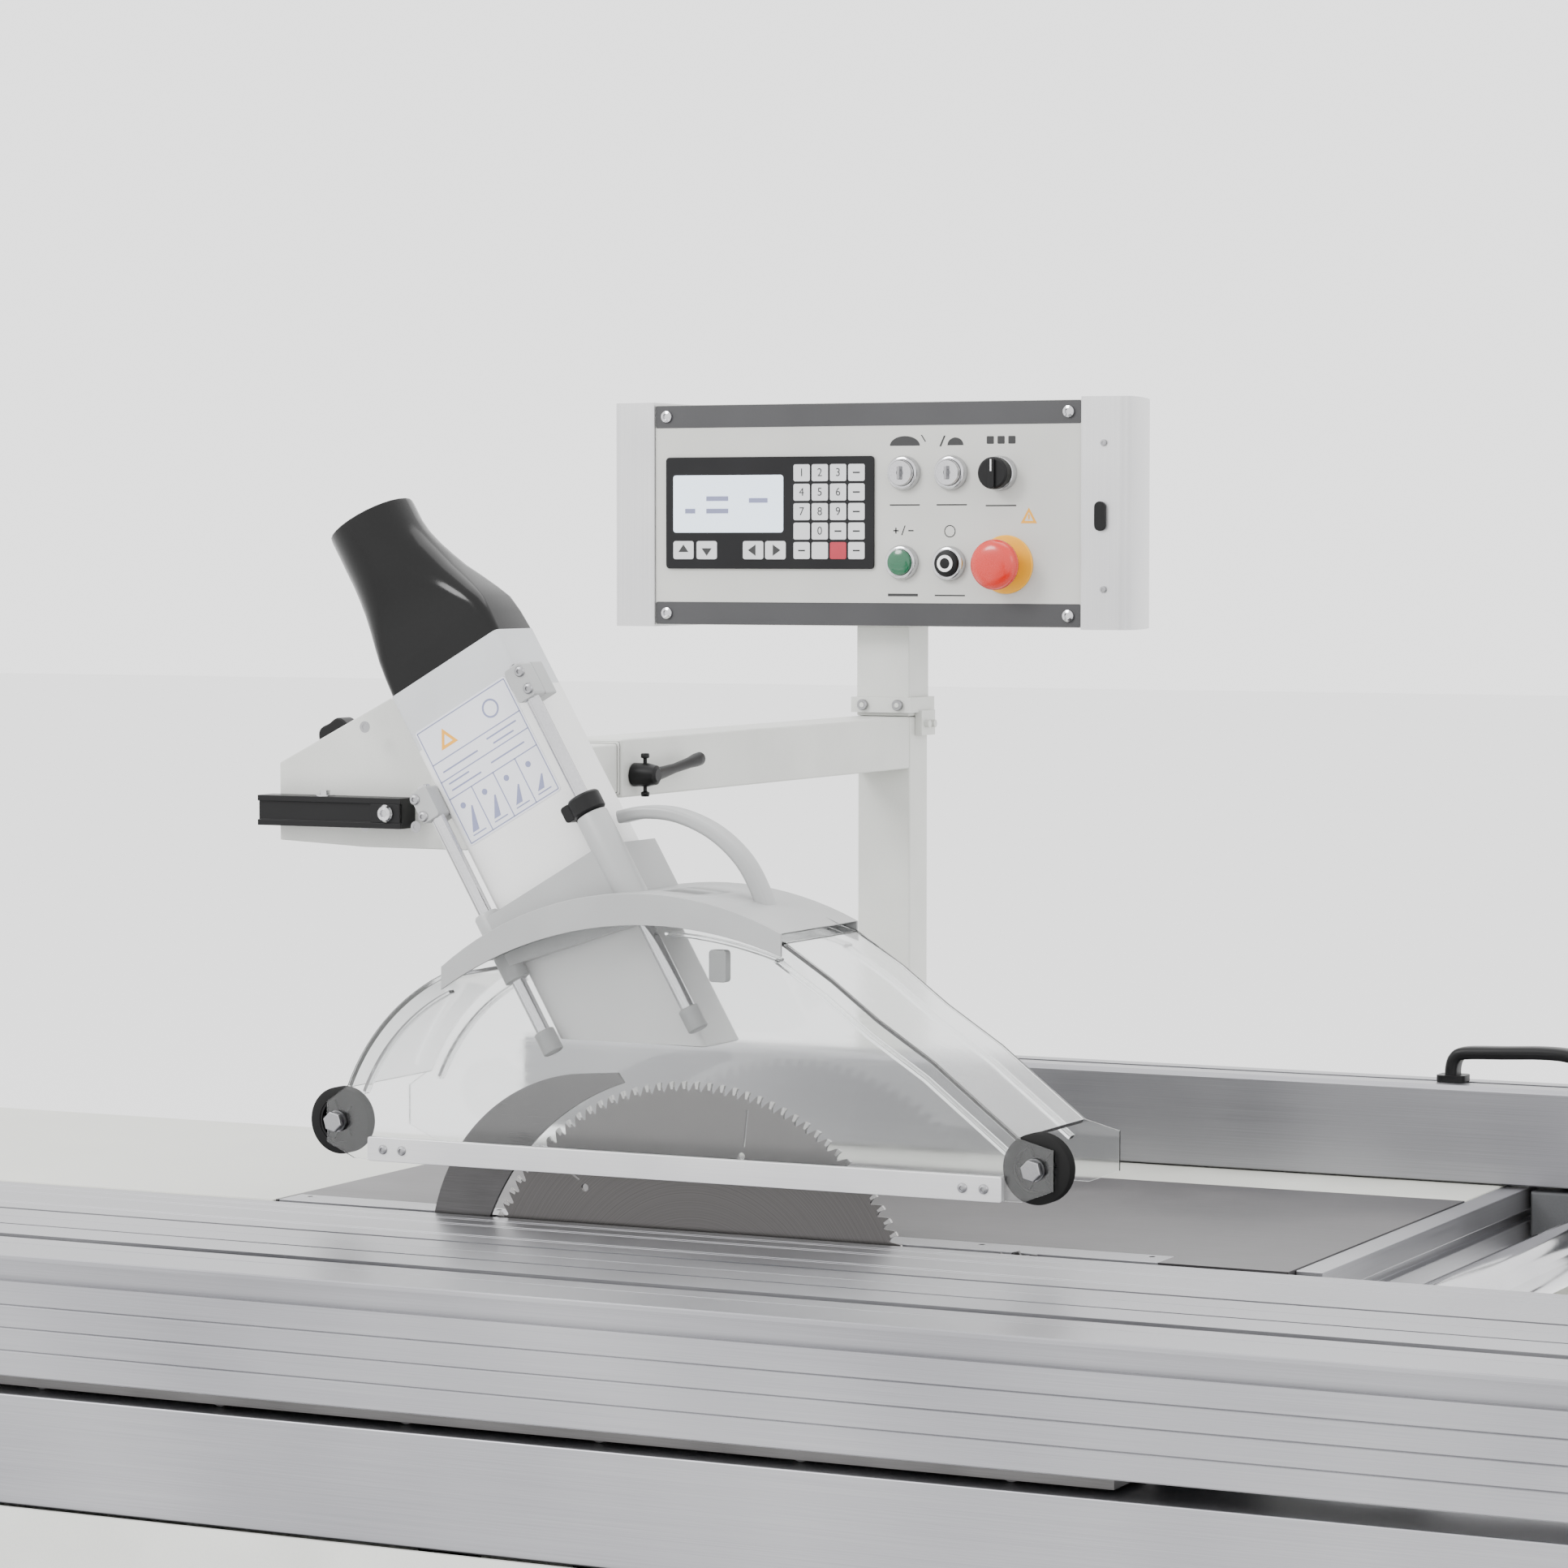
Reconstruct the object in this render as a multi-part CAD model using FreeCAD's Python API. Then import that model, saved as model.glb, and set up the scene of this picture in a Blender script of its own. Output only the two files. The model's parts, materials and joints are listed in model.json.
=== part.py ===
import FreeCAD, Part
import math
import os

# Sliding-table panel saw.  Millimetres, +X towards the operator along the sliding carriage,
# +Y from the carriage across the blade to the rip fence, +Z up.
# The pieces are drawn about the blade: x = 0 at the arbor, y = 0 in the blade plane, z = 0 on the
# table top.  Everything is then moved so that the origin is under the middle of the machine, on the floor.

V = FreeCAD.Vector
X, Y, Z = V(1, 0, 0), V(0, 1, 0), V(0, 0, 1)

# ---------------------------------------------------------------- driving dimensions
TABLE_HEIGHT = 890.0          # floor to table top
GAP = 0.3                     # seat between pieces that touch
RUN = 0.05                    # radial running clearance of shafts and guide bars
SLIDE_GAP = 0.3               # running gap between flat slides

# saw blade and arbor
BLADE_R = 200.0
BLADE_BODY = 3.0
BLADE_TEETH = 72
TOOTH_DEPTH = 9.0
ARBOR_DROP = 79.0             # arbor axis below the table top
ARBOR_R = 15.0
FLANGE_R = 38.0
FLANGE_T = 9.0
NUT_R = 24.0
NUT_T = 11.0
HOUSING_R = 34.0              # arbor bearing housing
HOUSING_Y = (14.0, 150.0)
PULLEY_Y = (165.0, 195.0)
ARBOR_PULLEY_R = 42.0
MOTOR_PULLEY_R = 60.0
MOTOR_DROP = 335.0            # motor axis below the table top
MOTOR_R = 85.0
MOTOR_L = 215.0
MOTOR_SHAFT_R = 14.0
BELT_T = 4.0
RISE_UP = 5.0
RISE_DOWN = 125.0

# slide and tilt frame
SLIDE_PLATE_Y = (64.0, 76.0)
SLIDE_PLATE_W = 190.0
GUIDE_X = 120.0
GUIDE_Y = 48.0
GUIDE_R = 12.5
BOSS_R = 18.0
BOSS_H = 40.0
FRAME_Y = (32.0, 63.0)
FRAME_X = (-262.0, 372.0)     # inner faces of the end plates
FRAME_T = 14.0
FRAME_LOW = -480.0
TRUNNION_R = (100.0, 135.0)
TRUNNION_T = 20.0

# scoring unit
SCORE_R = 60.0
SCORE_X = 285.0
SCORE_DROP = 58.0
SCORE_ARBOR_R = 10.0
SCORE_BODY_R = 38.0

# riving knife and shroud
KNIFE_T = 3.0
KNIFE_GAP = 6.0               # between the teeth and the knife
SHROUD_R = 212.0
SHROUD_Y = (-16.0, 24.0)
SHROUD_T = 2.0

# sliding carriage, its beam and roller cage
CARRIAGE_L = 3200.0
CARRIAGE_FRONT = -354.0
CARRIAGE_EDGE = -7.0          # edge beside the blade
CARRIAGE_H = 96.0
CARRIAGE_BOX_IN = -235.0
LIP_T = 12.0
BEAM_L = 2400.0
BEAM_TOP = -112.0
BEAM_LOW = -200.0
BEAM_FRONT = -345.0
BEAM_WALL = 6.0
CAGE_L = 1000.0
CAGE_ROLLERS = 6

# fixed tables
IRON_X = (-403.0, 507.0)
IRON_Y = (4.0, 438.0)
IRON_T = 14.0
IRON_RIM = 43.0
INSERT_X = 400.0              # half length of the throat insert
INSERT_Y = (4.5, 40.0)
INSERT_T = 8.0
OUTFEED_L = 800.0
SHEET_T = 3.0
EXTENSION_Y = 1060.0

# rip fence and its rail
RAIL_W = 22.0
RAIL_H = 60.0
RAIL_Y = (20.0, 1150.0)
BAR_X = 600.0
BAR_DROP = 37.0
BAR_R = 25.0
FENCE_NEAR = 538.0
FENCE_W = 60.0
FENCE_H = 84.0
FENCE_X = (-460.0, 590.0)
FENCE_LIFT = 1.5

# overhead guard
POST_X = -332.0
POST_Y = 1097.5
POST_W = 60.0
POST_D = 45.0
PANEL_POST_D = 50.0
TUBE_T = 4.0
ARM_Z = 349.5
ARM_H = 54.0
ARM_END = 440.0
ARM_INNER_Y = (97.0, 760.0)
TILT_A = math.radians(30.0)   # lean of the duct and guide rods
DUCT_T = (-34.0, 83.0)        # across the lean
DUCT_Y = (0.0, 65.0)
DUCT_TOP = 513.0
DUCT_LOW_Z = 150.0
DUCT_WALL = 2.5
SPOUT_TOP = 660.0
SPOUT_R = 38.0
SPOUT_WALL = 3.0
ROD_R = 6.0
ROD_Y = -10.0
ROD_T = (-38.0, 90.0)
HOOD_Y = (-38.0, 100.0)
HOOD_WALL = 3.0
HOOD_LOW = 46.0
ROLLER_R = 28.0
ROLLER_W = 13.0
ROLLERS = ((-316.0, 76.0), (314.0, 72.0))

# control panel
PANEL_W = 587.0
PANEL_PLATE_W = 487.0
PANEL_MID = POST_X - 6.5       # the panel hangs a little off the post
PANEL_Z = (471.0, 702.0)
PANEL_FACE_Y = 1040.0
PANEL_DEPTH = 115.0
SHEET_PANEL = 2.0
BEZEL_R = 18.0

# base cabinet
CAB_X = (-620.0, 500.0)
CAB_Y = (-352.0, 620.0)
CAB_T = 4.0
FOOT_H = 30.0
DOOR_X = 300.0
DOOR_Z = (-TABLE_HEIGHT + 90.0, -310.0)
HOSE_R = 60.0


# ---------------------------------------------------------------- small helpers
def box(x, y, z):
    """A block given by its low and high corner on each axis."""
    return Part.makeBox(x[1] - x[0], y[1] - y[0], z[1] - z[0], V(x[0], y[0], z[0]))


def cyl(r, length, at, along):
    return Part.makeCylinder(r, length, at, along)


def ring(r_out, r_in, length, at, along):
    return cyl(r_out, length, at, along).cut(cyl(r_in, length + 2, at - along, along))


def slab(points, depth, place, along):
    """A closed polygon of 2-D points set out by place(), pushed along a direction."""
    wire = Part.makePolygon([place(a, b) for a, b in points + points[:1]])
    return Part.Face(wire).extrude(along * depth)


def in_xz(y):
    return lambda a, b: V(a, y, b)


def in_yz(x):
    return lambda a, b: V(x, a, b)


def in_xy(z):
    return lambda a, b: V(a, b, z)


def fused(first, *others):
    return first.multiFuse(list(others)).removeSplitter()


def group(*solids):
    return Part.makeCompound(list(solids))


def hollow(x, y, z, wall, open_top=False):
    """A rectangular shell."""
    top = z[1] + 1 if open_top else z[1] - wall
    inside = box((x[0] + wall, x[1] - wall), (y[0] + wall, y[1] - wall), (z[0] + wall, top))
    return box(x, y, z).cut(inside)


def tube_y(x_mid, z_mid, width, height, y, wall):
    """A rectangular tube along Y."""
    outer = box((x_mid - width / 2, x_mid + width / 2), y, (z_mid - height / 2, z_mid + height / 2))
    inner = box((x_mid - width / 2 + wall, x_mid + width / 2 - wall), (y[0] - 1, y[1] + 1),
                (z_mid - height / 2 + wall, z_mid + height / 2 - wall))
    return outer.cut(inner)


def tube_z(x_mid, y_mid, width, depth, z, wall):
    """A rectangular tube along Z."""
    outer = box((x_mid - width / 2, x_mid + width / 2), (y_mid - depth / 2, y_mid + depth / 2), z)
    inner = box((x_mid - width / 2 + wall, x_mid + width / 2 - wall),
                (y_mid - depth / 2 + wall, y_mid + depth / 2 - wall), (z[0] - 1, z[1] + 1))
    return outer.cut(inner)


def sector(r_in, r_out, start, stop, x):
    """A ring sector about the tilt axis, in the YZ plane at x = x[0]..x[1]; degrees from +Y."""
    steps = 12
    angles = [math.radians(start + (stop - start) * n / steps) for n in range(steps + 1)]
    outer = [(r_out * math.cos(a), r_out * math.sin(a)) for a in angles]
    inner = [(r_in * math.cos(a), r_in * math.sin(a)) for a in reversed(angles)]
    return slab(outer + inner, x[1] - x[0], in_yz(x[0]), X)


def lean(s, t, y=0.0):
    """A point on the leaning duct: s up along it, t across it."""
    return V(-s * math.sin(TILT_A) + t * math.cos(TILT_A), y,
             s * math.cos(TILT_A) + t * math.sin(TILT_A))


UP_LEAN = lean(1, 0)


def lean_box(s, t, y):
    corners = [(s[0], t[0]), (s[1], t[0]), (s[1], t[1]), (s[0], t[1])]
    return slab(corners, y[1] - y[0], lambda a, b: lean(a, b, y[0]), Y)


parts = {}


# ---------------------------------------------------------------- saw unit
def saw_blade():
    root = BLADE_R - TOOTH_DEPTH
    points = []
    for n in range(BLADE_TEETH):
        for turn, r in ((0.0, BLADE_R), (0.30, BLADE_R - 1.5), (0.42, root), (0.78, root)):
            a = 2 * math.pi * (n + turn) / BLADE_TEETH
            points.append((r * math.sin(a), -ARBOR_DROP + r * math.cos(a)))
    disc = slab(points, BLADE_BODY, in_xz(-BLADE_BODY / 2), Y)
    return disc.cut(cyl(ARBOR_R, BLADE_BODY + 2, V(0, -BLADE_BODY / 2 - 1, -ARBOR_DROP), Y))


def saw_arbor():
    """Shaft with its back flange, loose front flange, nut and belt pulley."""
    face = BLADE_BODY / 2
    nose = -(face + FLANGE_T + NUT_T + 4)
    shaft = cyl(ARBOR_R - RUN, PULLEY_Y[1] + 5 - nose, V(0, nose, -ARBOR_DROP), Y)
    back = cyl(FLANGE_R, FLANGE_T, V(0, face, -ARBOR_DROP), Y)
    front = ring(FLANGE_R, ARBOR_R, FLANGE_T, V(0, -face - FLANGE_T, -ARBOR_DROP), Y)
    corners = [(NUT_R * math.cos(k * math.pi / 3), NUT_R * math.sin(k * math.pi / 3) - ARBOR_DROP)
               for k in range(6)]
    nut_y = -face - FLANGE_T - NUT_T
    nut = slab(corners, NUT_T, in_xz(nut_y), Y)
    nut = nut.cut(cyl(ARBOR_R, NUT_T + 2, V(0, nut_y - 1, -ARBOR_DROP), Y))
    width = PULLEY_Y[1] - PULLEY_Y[0]
    pulley = ring(ARBOR_PULLEY_R, ARBOR_R, width, V(0, PULLEY_Y[0], -ARBOR_DROP), Y)
    groove = ring(ARBOR_PULLEY_R + 1, ARBOR_PULLEY_R - BELT_T, width - 6,
                  V(0, PULLEY_Y[0] + 3, -ARBOR_DROP), Y)
    return group(fused(shaft, back), front, nut, pulley.cut(groove))


def rise_slide():
    """Sliding plate on the guide bars, with the arbor housing, the motor shelf and the knife arm."""
    half = SLIDE_PLATE_W / 2
    low = -MOTOR_DROP - MOTOR_R - 20
    shelf_y = (SLIDE_PLATE_Y[1] + 28, PULLEY_Y[1] + 15 + MOTOR_L)
    plate = box((-half, half), SLIDE_PLATE_Y, (low, -ARBOR_DROP + HOUSING_R))
    wings = box((-GUIDE_X - BOSS_R, GUIDE_X + BOSS_R), SLIDE_PLATE_Y, (-320, -160))
    housing = cyl(HOUSING_R, HOUSING_Y[1] - HOUSING_Y[0], V(0, HOUSING_Y[0], -ARBOR_DROP), Y)
    shelf = box((-half, half), shelf_y, (low, low + 15))
    cheeks = [box((x, x + 10), (SLIDE_PLATE_Y[0] + 1, shelf_y[1]), (low, low + 40))
              for x in (-half, half - 10)]
    bosses = [cyl(BOSS_R, BOSS_H, V(x, GUIDE_Y, z), Z)
              for x in (-GUIDE_X, GUIDE_X) for z in (-200, -320)]
    arm_z = (-ARBOR_DROP - 30, -ARBOR_DROP + 20)
    arm_y = (SHROUD_Y[1] + GAP, FRAME_Y[0] - 2)
    knife_arm = box((-236, -HOUSING_R + 6), arm_y, arm_z)
    knife_pad = box((-236, -214), (KNIFE_T / 2 + GAP, arm_y[1]), arm_z)
    body = fused(plate, wings, housing, shelf, knife_arm, knife_pad, *(cheeks + bosses))
    for x in (-GUIDE_X, GUIDE_X):
        body = body.cut(cyl(GUIDE_R + RUN, 400, V(x, GUIDE_Y, -500), Z))
    return body.cut(cyl(ARBOR_R, 200, V(0, 5, -ARBOR_DROP), Y))


def main_motor():
    y0 = PULLEY_Y[1] + 15
    barrel = cyl(MOTOR_R, MOTOR_L, V(0, y0, -MOTOR_DROP), Y)
    feet = box((-MOTOR_R + 20, MOTOR_R - 20), (y0 + 20, y0 + MOTOR_L - 20),
               (-MOTOR_DROP - MOTOR_R - 5, -MOTOR_DROP))
    terminal = box((-45, 45), (y0 + 30, y0 + 130), (-MOTOR_DROP, -MOTOR_DROP + MOTOR_R + 30))
    body = fused(barrel, feet, terminal)
    return body.cut(cyl(MOTOR_SHAFT_R + RUN, 40, V(0, y0 - 1, -MOTOR_DROP), Y))


def motor_pulley():
    width = PULLEY_Y[1] - PULLEY_Y[0]
    wheel = cyl(MOTOR_PULLEY_R, width, V(0, PULLEY_Y[0], -MOTOR_DROP), Y)
    groove = ring(MOTOR_PULLEY_R + 1, MOTOR_PULLEY_R - BELT_T, width - 6,
                  V(0, PULLEY_Y[0] + 3, -MOTOR_DROP), Y)
    shaft = cyl(MOTOR_SHAFT_R, 50, V(0, PULLEY_Y[0], -MOTOR_DROP), Y)
    return fused(wheel.cut(groove), shaft)


def drive_belt():
    """Flat loop round both pulleys, 0.3 mm clear of them so that they can turn in it."""
    r_top = ARBOR_PULLEY_R - BELT_T + GAP
    r_low = MOTOR_PULLEY_R - BELT_T + GAP
    y = (PULLEY_Y[0] + 3.5, PULLEY_Y[1] - 3.5)
    span = MOTOR_DROP - ARBOR_DROP
    slope = math.asin((r_low - r_top) / span)

    def loop(extra):
        top, low = r_top + extra, r_low + extra
        c, s = math.cos(slope), math.sin(slope)
        a = V(top * c, y[0], -ARBOR_DROP + top * s)
        b = V(low * c, y[0], -MOTOR_DROP + low * s)
        c2 = V(-low * c, y[0], -MOTOR_DROP + low * s)
        d = V(-top * c, y[0], -ARBOR_DROP + top * s)
        edges = [Part.LineSegment(a, b).toShape(),
                 Part.Arc(b, V(0, y[0], -MOTOR_DROP - low), c2).toShape(),
                 Part.LineSegment(c2, d).toShape(),
                 Part.Arc(d, V(0, y[0], -ARBOR_DROP + top), a).toShape()]
        return Part.Face(Part.Wire(edges)).extrude(Y * (y[1] - y[0]))

    return loop(BELT_T).cut(loop(0.0))


def riving_knife():
    """Crescent behind the blade; its inner edge follows the teeth."""
    inner_r = BLADE_R + KNIFE_GAP

    def rim(x):
        return V(x, 0, -ARBOR_DROP + math.sqrt(inner_r ** 2 - x ** 2))

    tip_in, tip_out = rim(-64), V(-70, 0, 125)
    heel = V(-246, 0, -ARBOR_DROP + 25)
    foot = V(-240, 0, -ARBOR_DROP - 45)
    foot_in = V(-math.sqrt(inner_r ** 2 - 45 ** 2), 0, -ARBOR_DROP - 45)
    low_in = V(-inner_r, 0, -ARBOR_DROP)
    edges = [Part.LineSegment(foot_in, foot).toShape(),
             Part.LineSegment(foot, heel).toShape(),
             Part.Arc(heel, V(-196, 0, 83), V(-100, 0, 123)).toShape(),
             Part.LineSegment(V(-100, 0, 123), tip_out).toShape(),
             Part.LineSegment(tip_out, tip_in).toShape(),
             Part.Arc(tip_in, rim(-160), low_in).toShape(),
             Part.LineSegment(low_in, foot_in).toShape()]
    face = Part.Face(Part.Wire(edges))
    face.translate(V(0, -KNIFE_T / 2, 0))
    return face.extrude(Y * KNIFE_T)


def dust_shroud():
    """Open-topped case round the lower half of the blade, with its outlet."""
    lid = -ARBOR_DROP - 10
    depth = SHROUD_Y[1] - SHROUD_Y[0]
    at = V(0, SHROUD_Y[0], -ARBOR_DROP)
    below = box((-SHROUD_R - 5, SHROUD_R + 5), (SHROUD_Y[0] - 1, SHROUD_Y[1] + 1), (-600, lid))
    case = cyl(SHROUD_R, depth, at, Y)
    outlet = box((-60, 60), (SHROUD_Y[0], SHROUD_Y[1]), (-ARBOR_DROP - SHROUD_R - 40, -ARBOR_DROP - 150))
    room = cyl(SHROUD_R - SHROUD_T, depth - 2 * SHROUD_T, at + Y * SHROUD_T, Y)
    mouth = box((-60 + SHROUD_T, 60 - SHROUD_T), (SHROUD_Y[0] + SHROUD_T, SHROUD_Y[1] - SHROUD_T),
                (-ARBOR_DROP - SHROUD_R - 50, -ARBOR_DROP - 150))
    case = case.fuse(outlet).cut(room).cut(mouth).common(below)
    case = case.cut(cyl(50, depth + 4, at - Y * 2, Y))
    clear = box((-SHROUD_R - 10, -200), (-3, 3 + SHROUD_Y[1]), (-ARBOR_DROP - 50, lid + 5))
    return case.cut(clear).removeSplitter()


def tilt_frame():
    """Two end plates hung on the trunnions, tied by cross bars that carry the guide bars."""
    left, right = FRAME_X
    plates = []
    for x in ((left - FRAME_T, left), (right, right + FRAME_T)):
        web = slab([(20, -60), (110, -60), (110, -300), (FRAME_Y[1], FRAME_LOW), (FRAME_Y[0], FRAME_LOW),
                    (20, -200)], FRAME_T, in_yz(x[0]), X)
        plates.append(web.fuse(sector(TRUNNION_R[0] - 5, TRUNNION_R[1] + 5, 245, 345, x)))
    low_bar = box((left - 1, right + 1), FRAME_Y, (FRAME_LOW, FRAME_LOW + 25))
    left_arm = box((left - 1, -GUIDE_X + 18), FRAME_Y, (-132, -102))
    right_arm = box((GUIDE_X - 18, right + 1), FRAME_Y, (-132, -102))
    frame = fused(plates[0], plates[1], low_bar, left_arm, right_arm)
    motor_pad = box((SCORE_X - 30, SCORE_X + 30), (FRAME_Y[0], 110), (-150, -SCORE_DROP - SCORE_BODY_R - GAP))
    frame = frame.fuse(motor_pad)
    bars = []
    for x in (-GUIDE_X, GUIDE_X):
        frame = frame.cut(cyl(GUIDE_R + 0.02, 500, V(x, GUIDE_Y, FRAME_LOW + 5), Z))
        bars.append(cyl(GUIDE_R, -102 - FRAME_LOW - 5, V(x, GUIDE_Y, FRAME_LOW + 5), Z))
    return group(frame.removeSplitter(), *bars)


def scoring_motor():
    body = cyl(SCORE_BODY_R, 150, V(SCORE_X, 62, -SCORE_DROP), Y)
    nose = cyl(20, 50, V(SCORE_X, 14, -SCORE_DROP), Y)
    return fused(body, nose).cut(cyl(SCORE_ARBOR_R + RUN, 60, V(SCORE_X, 13, -SCORE_DROP), Y))


def scoring_arbor():
    shaft = cyl(SCORE_ARBOR_R, 70, V(SCORE_X, -8, -SCORE_DROP), Y)
    flange = cyl(20, 6, V(SCORE_X, 1.6, -SCORE_DROP), Y)
    nut = ring(16, SCORE_ARBOR_R, 6, V(SCORE_X, -7.6, -SCORE_DROP), Y)
    return group(fused(shaft, flange), nut)


def scoring_blade():
    teeth = 24
    points = []
    for n in range(teeth):
        for turn, r in ((0.0, SCORE_R), (0.35, SCORE_R - 1), (0.5, SCORE_R - 5), (0.8, SCORE_R - 5)):
            a = -2 * math.pi * (n + turn) / teeth
            points.append((SCORE_X + r * math.sin(a), -SCORE_DROP + r * math.cos(a)))
    disc = slab(points, 3.0, in_xz(-1.5), Y)
    return disc.cut(cyl(SCORE_ARBOR_R, 6, V(SCORE_X, -3, -SCORE_DROP), Y))


parts["saw_blade"] = saw_blade()
parts["saw_arbor"] = saw_arbor()
parts["rise_slide"] = rise_slide()
parts["main_motor"] = main_motor()
parts["motor_pulley"] = motor_pulley()
parts["drive_belt"] = drive_belt()
parts["riving_knife"] = riving_knife()
parts["dust_shroud"] = dust_shroud()
parts["tilt_frame"] = tilt_frame()
parts["scoring_motor"] = scoring_motor()
parts["scoring_arbor"] = scoring_arbor()
parts["scoring_blade"] = scoring_blade()


# ---------------------------------------------------------------- sliding carriage
def sliding_carriage():
    """Hollow aluminium profile: thin ledge beside the blade, box section at the front."""
    front, inner = CARRIAGE_FRONT, CARRIAGE_BOX_IN
    outline = [(CARRIAGE_EDGE, 0), (front, 0), (front, -4), (front + 8, -4), (front + 8, -21),
               (front, -21), (front, -CARRIAGE_H), (inner, -CARRIAGE_H), (inner, -LIP_T),
               (CARRIAGE_EDGE - 10, -LIP_T), (CARRIAGE_EDGE, -3)]
    x0 = -CARRIAGE_L / 2
    profile = slab(outline, CARRIAGE_L, in_yz(x0), X)
    span = (x0 - 1, -x0 + 1)
    cuts = [box(span, (front + 14, inner - 6), (-CARRIAGE_H + 6, -27)),
            box(span, (-276, -260), (-8, 1)),
            box(span, (-281, -255), (-17, -7)),
            box(span, (-143, -137), (-3, 1)),
            box(span, (-216, -212), (-2, 1))]
    for cut in cuts:
        profile = profile.cut(cut)
    return profile


def carriage_beam():
    return hollow_x((-BEAM_L / 2, BEAM_L / 2), (BEAM_FRONT, CARRIAGE_BOX_IN), (BEAM_LOW, BEAM_TOP), BEAM_WALL)


def hollow_x(x, y, z, wall):
    inside = box((x[0] - 1, x[1] + 1), (y[0] + wall, y[1] - wall), (z[0] + wall, z[1] - wall))
    return box(x, y, z).cut(inside)


def roller_cage():
    """Flat cage with rollers, between the beam and the carriage."""
    gap = -CARRIAGE_H - BEAM_TOP
    r = gap / 2 - SLIDE_GAP
    mid_z = BEAM_TOP + gap / 2
    y = (BEAM_FRONT + 15, CARRIAGE_BOX_IN - 15)
    cage = box((-CAGE_L / 2, CAGE_L / 2), y, (mid_z - 4, mid_z + 4))
    rollers = []
    for n in range(CAGE_ROLLERS):
        x = -CAGE_L / 2 + CAGE_L * (n + 0.5) / CAGE_ROLLERS
        cage = cage.cut(box((x - r - 1, x + r + 1), (y[0] + 10, y[1] - 10), (mid_z - 5, mid_z + 5)))
        rollers.append(cyl(r, y[1] - y[0] - 20.6, V(x, y[0] + 10.3, mid_z), Y))
    return group(cage, *rollers)


parts["sliding_carriage"] = sliding_carriage()
parts["carriage_beam"] = carriage_beam()
parts["roller_cage"] = roller_cage()


# ---------------------------------------------------------------- fixed tables
def cast_iron_table():
    """Ribbed casting with a notch for the throat insert and lugs for the tilt trunnions."""
    x, y = IRON_X, IRON_Y
    plate = box(x, y, (-IRON_T, 0))
    notch = box((-INSERT_X - GAP, INSERT_X + GAP), (y[0] - 1, INSERT_Y[1] + GAP), (-IRON_T - 1, 1))
    plate = plate.cut(notch)
    ribs = [box((x[0], x[0] + 12), (INSERT_Y[1] + 12, y[1]), (-IRON_RIM, -1)),
            box((x[1] - 12, x[1]), (INSERT_Y[1] + 12, y[1]), (-IRON_RIM, -1)),
            box(x, (y[1] - 12, y[1]), (-IRON_RIM, -1)),
            box(x, (290, 300), (-IRON_RIM, -1))]
    lugs = []
    for side, face in ((-1, FRAME_X[0] - FRAME_T - SLIDE_GAP), (1, FRAME_X[1] + FRAME_T + SLIDE_GAP)):
        x_lug = sorted((face, face + side * TRUNNION_T))
        lugs.append(sector(TRUNNION_R[0], TRUNNION_R[1], 215, 325, x_lug))
        lugs.append(box(x_lug, (62, 112), (-78, -1)))
    ledges = [box((at, at + 15), (INSERT_Y[1] - 20, INSERT_Y[1] + 6), (-IRON_T, -INSERT_T - GAP))
              for at in (-INSERT_X - 3, INSERT_X - 12)]
    return fused(plate, *(ribs + lugs + ledges))


def throat_insert():
    """Aluminium strip beside the blade, let into the casting."""
    return box((-INSERT_X, INSERT_X), INSERT_Y, (-INSERT_T, 0))


def sheet_table(x, y, depth):
    """Folded steel table: a top with a skirt all round."""
    return hollow_down(x, y, (-depth, 0), SHEET_T)


def hollow_down(x, y, z, wall):
    inside = box((x[0] + wall, x[1] - wall), (y[0] + wall, y[1] - wall), (z[0] - 1, z[1] - wall))
    return box(x, y, z).cut(inside)


def outfeed_table():
    x = (IRON_X[0] - GAP - OUTFEED_L, IRON_X[0] - GAP)
    top = sheet_table(x, (0, IRON_Y[1]), IRON_RIM)
    brackets = []
    for y in (60, 340):
        corners = [(x[0] + 250, 1 - SHEET_T), (CAB_X[0] - GAP, 1 - SHEET_T), (CAB_X[0] - GAP, -300)]
        web = slab(corners, 40, in_xz(y), Y)
        brackets.append(web)
    return fused(top, *brackets)


def extension_table():
    """Painted table right of the casting, on a leg near its far corner."""
    x = IRON_X
    top = sheet_table(x, (IRON_Y[1] + GAP, EXTENSION_Y), IRON_RIM)
    leg_x, leg_y = x[1] - 60, EXTENSION_Y - 60
    leg = tube_z(leg_x, leg_y, 50, 50, (-TABLE_HEIGHT + 10, -SHEET_T - GAP), TUBE_T)
    foot = box((leg_x - 60, leg_x + 60), (leg_y - 60, leg_y + 60), (-TABLE_HEIGHT, -TABLE_HEIGHT + 10 - GAP))
    return group(top, leg, foot)


parts["cast_iron_table"] = cast_iron_table()
parts["throat_insert"] = throat_insert()
parts["outfeed_table"] = outfeed_table()
parts["extension_table"] = extension_table()


# ---------------------------------------------------------------- rip fence
def fence_rail():
    x = (IRON_X[1] + GAP, IRON_X[1] + GAP + RAIL_W)
    rail = box(x, RAIL_Y, (-RAIL_H - 1, -1))
    slot = box((x[1] - 8, x[1] + 1), (RAIL_Y[0] - 1, RAIL_Y[1] + 1), (-30, -20))
    rail = rail.cut(slot)
    saddles = []
    for y in (RAIL_Y[0] + 20, (RAIL_Y[0] + RAIL_Y[1]) / 2, RAIL_Y[1] - 50):
        saddles.append(box((x[1] - 2, BAR_X + 12), (y, y + 30), (-RAIL_H - 16, -BAR_DROP - BAR_R - GAP)))
        saddles.append(box((x[1] - 2, x[1] + 6), (y, y + 30), (-RAIL_H - 16, -RAIL_H + 5)))
    return fused(rail, *saddles)


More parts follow.
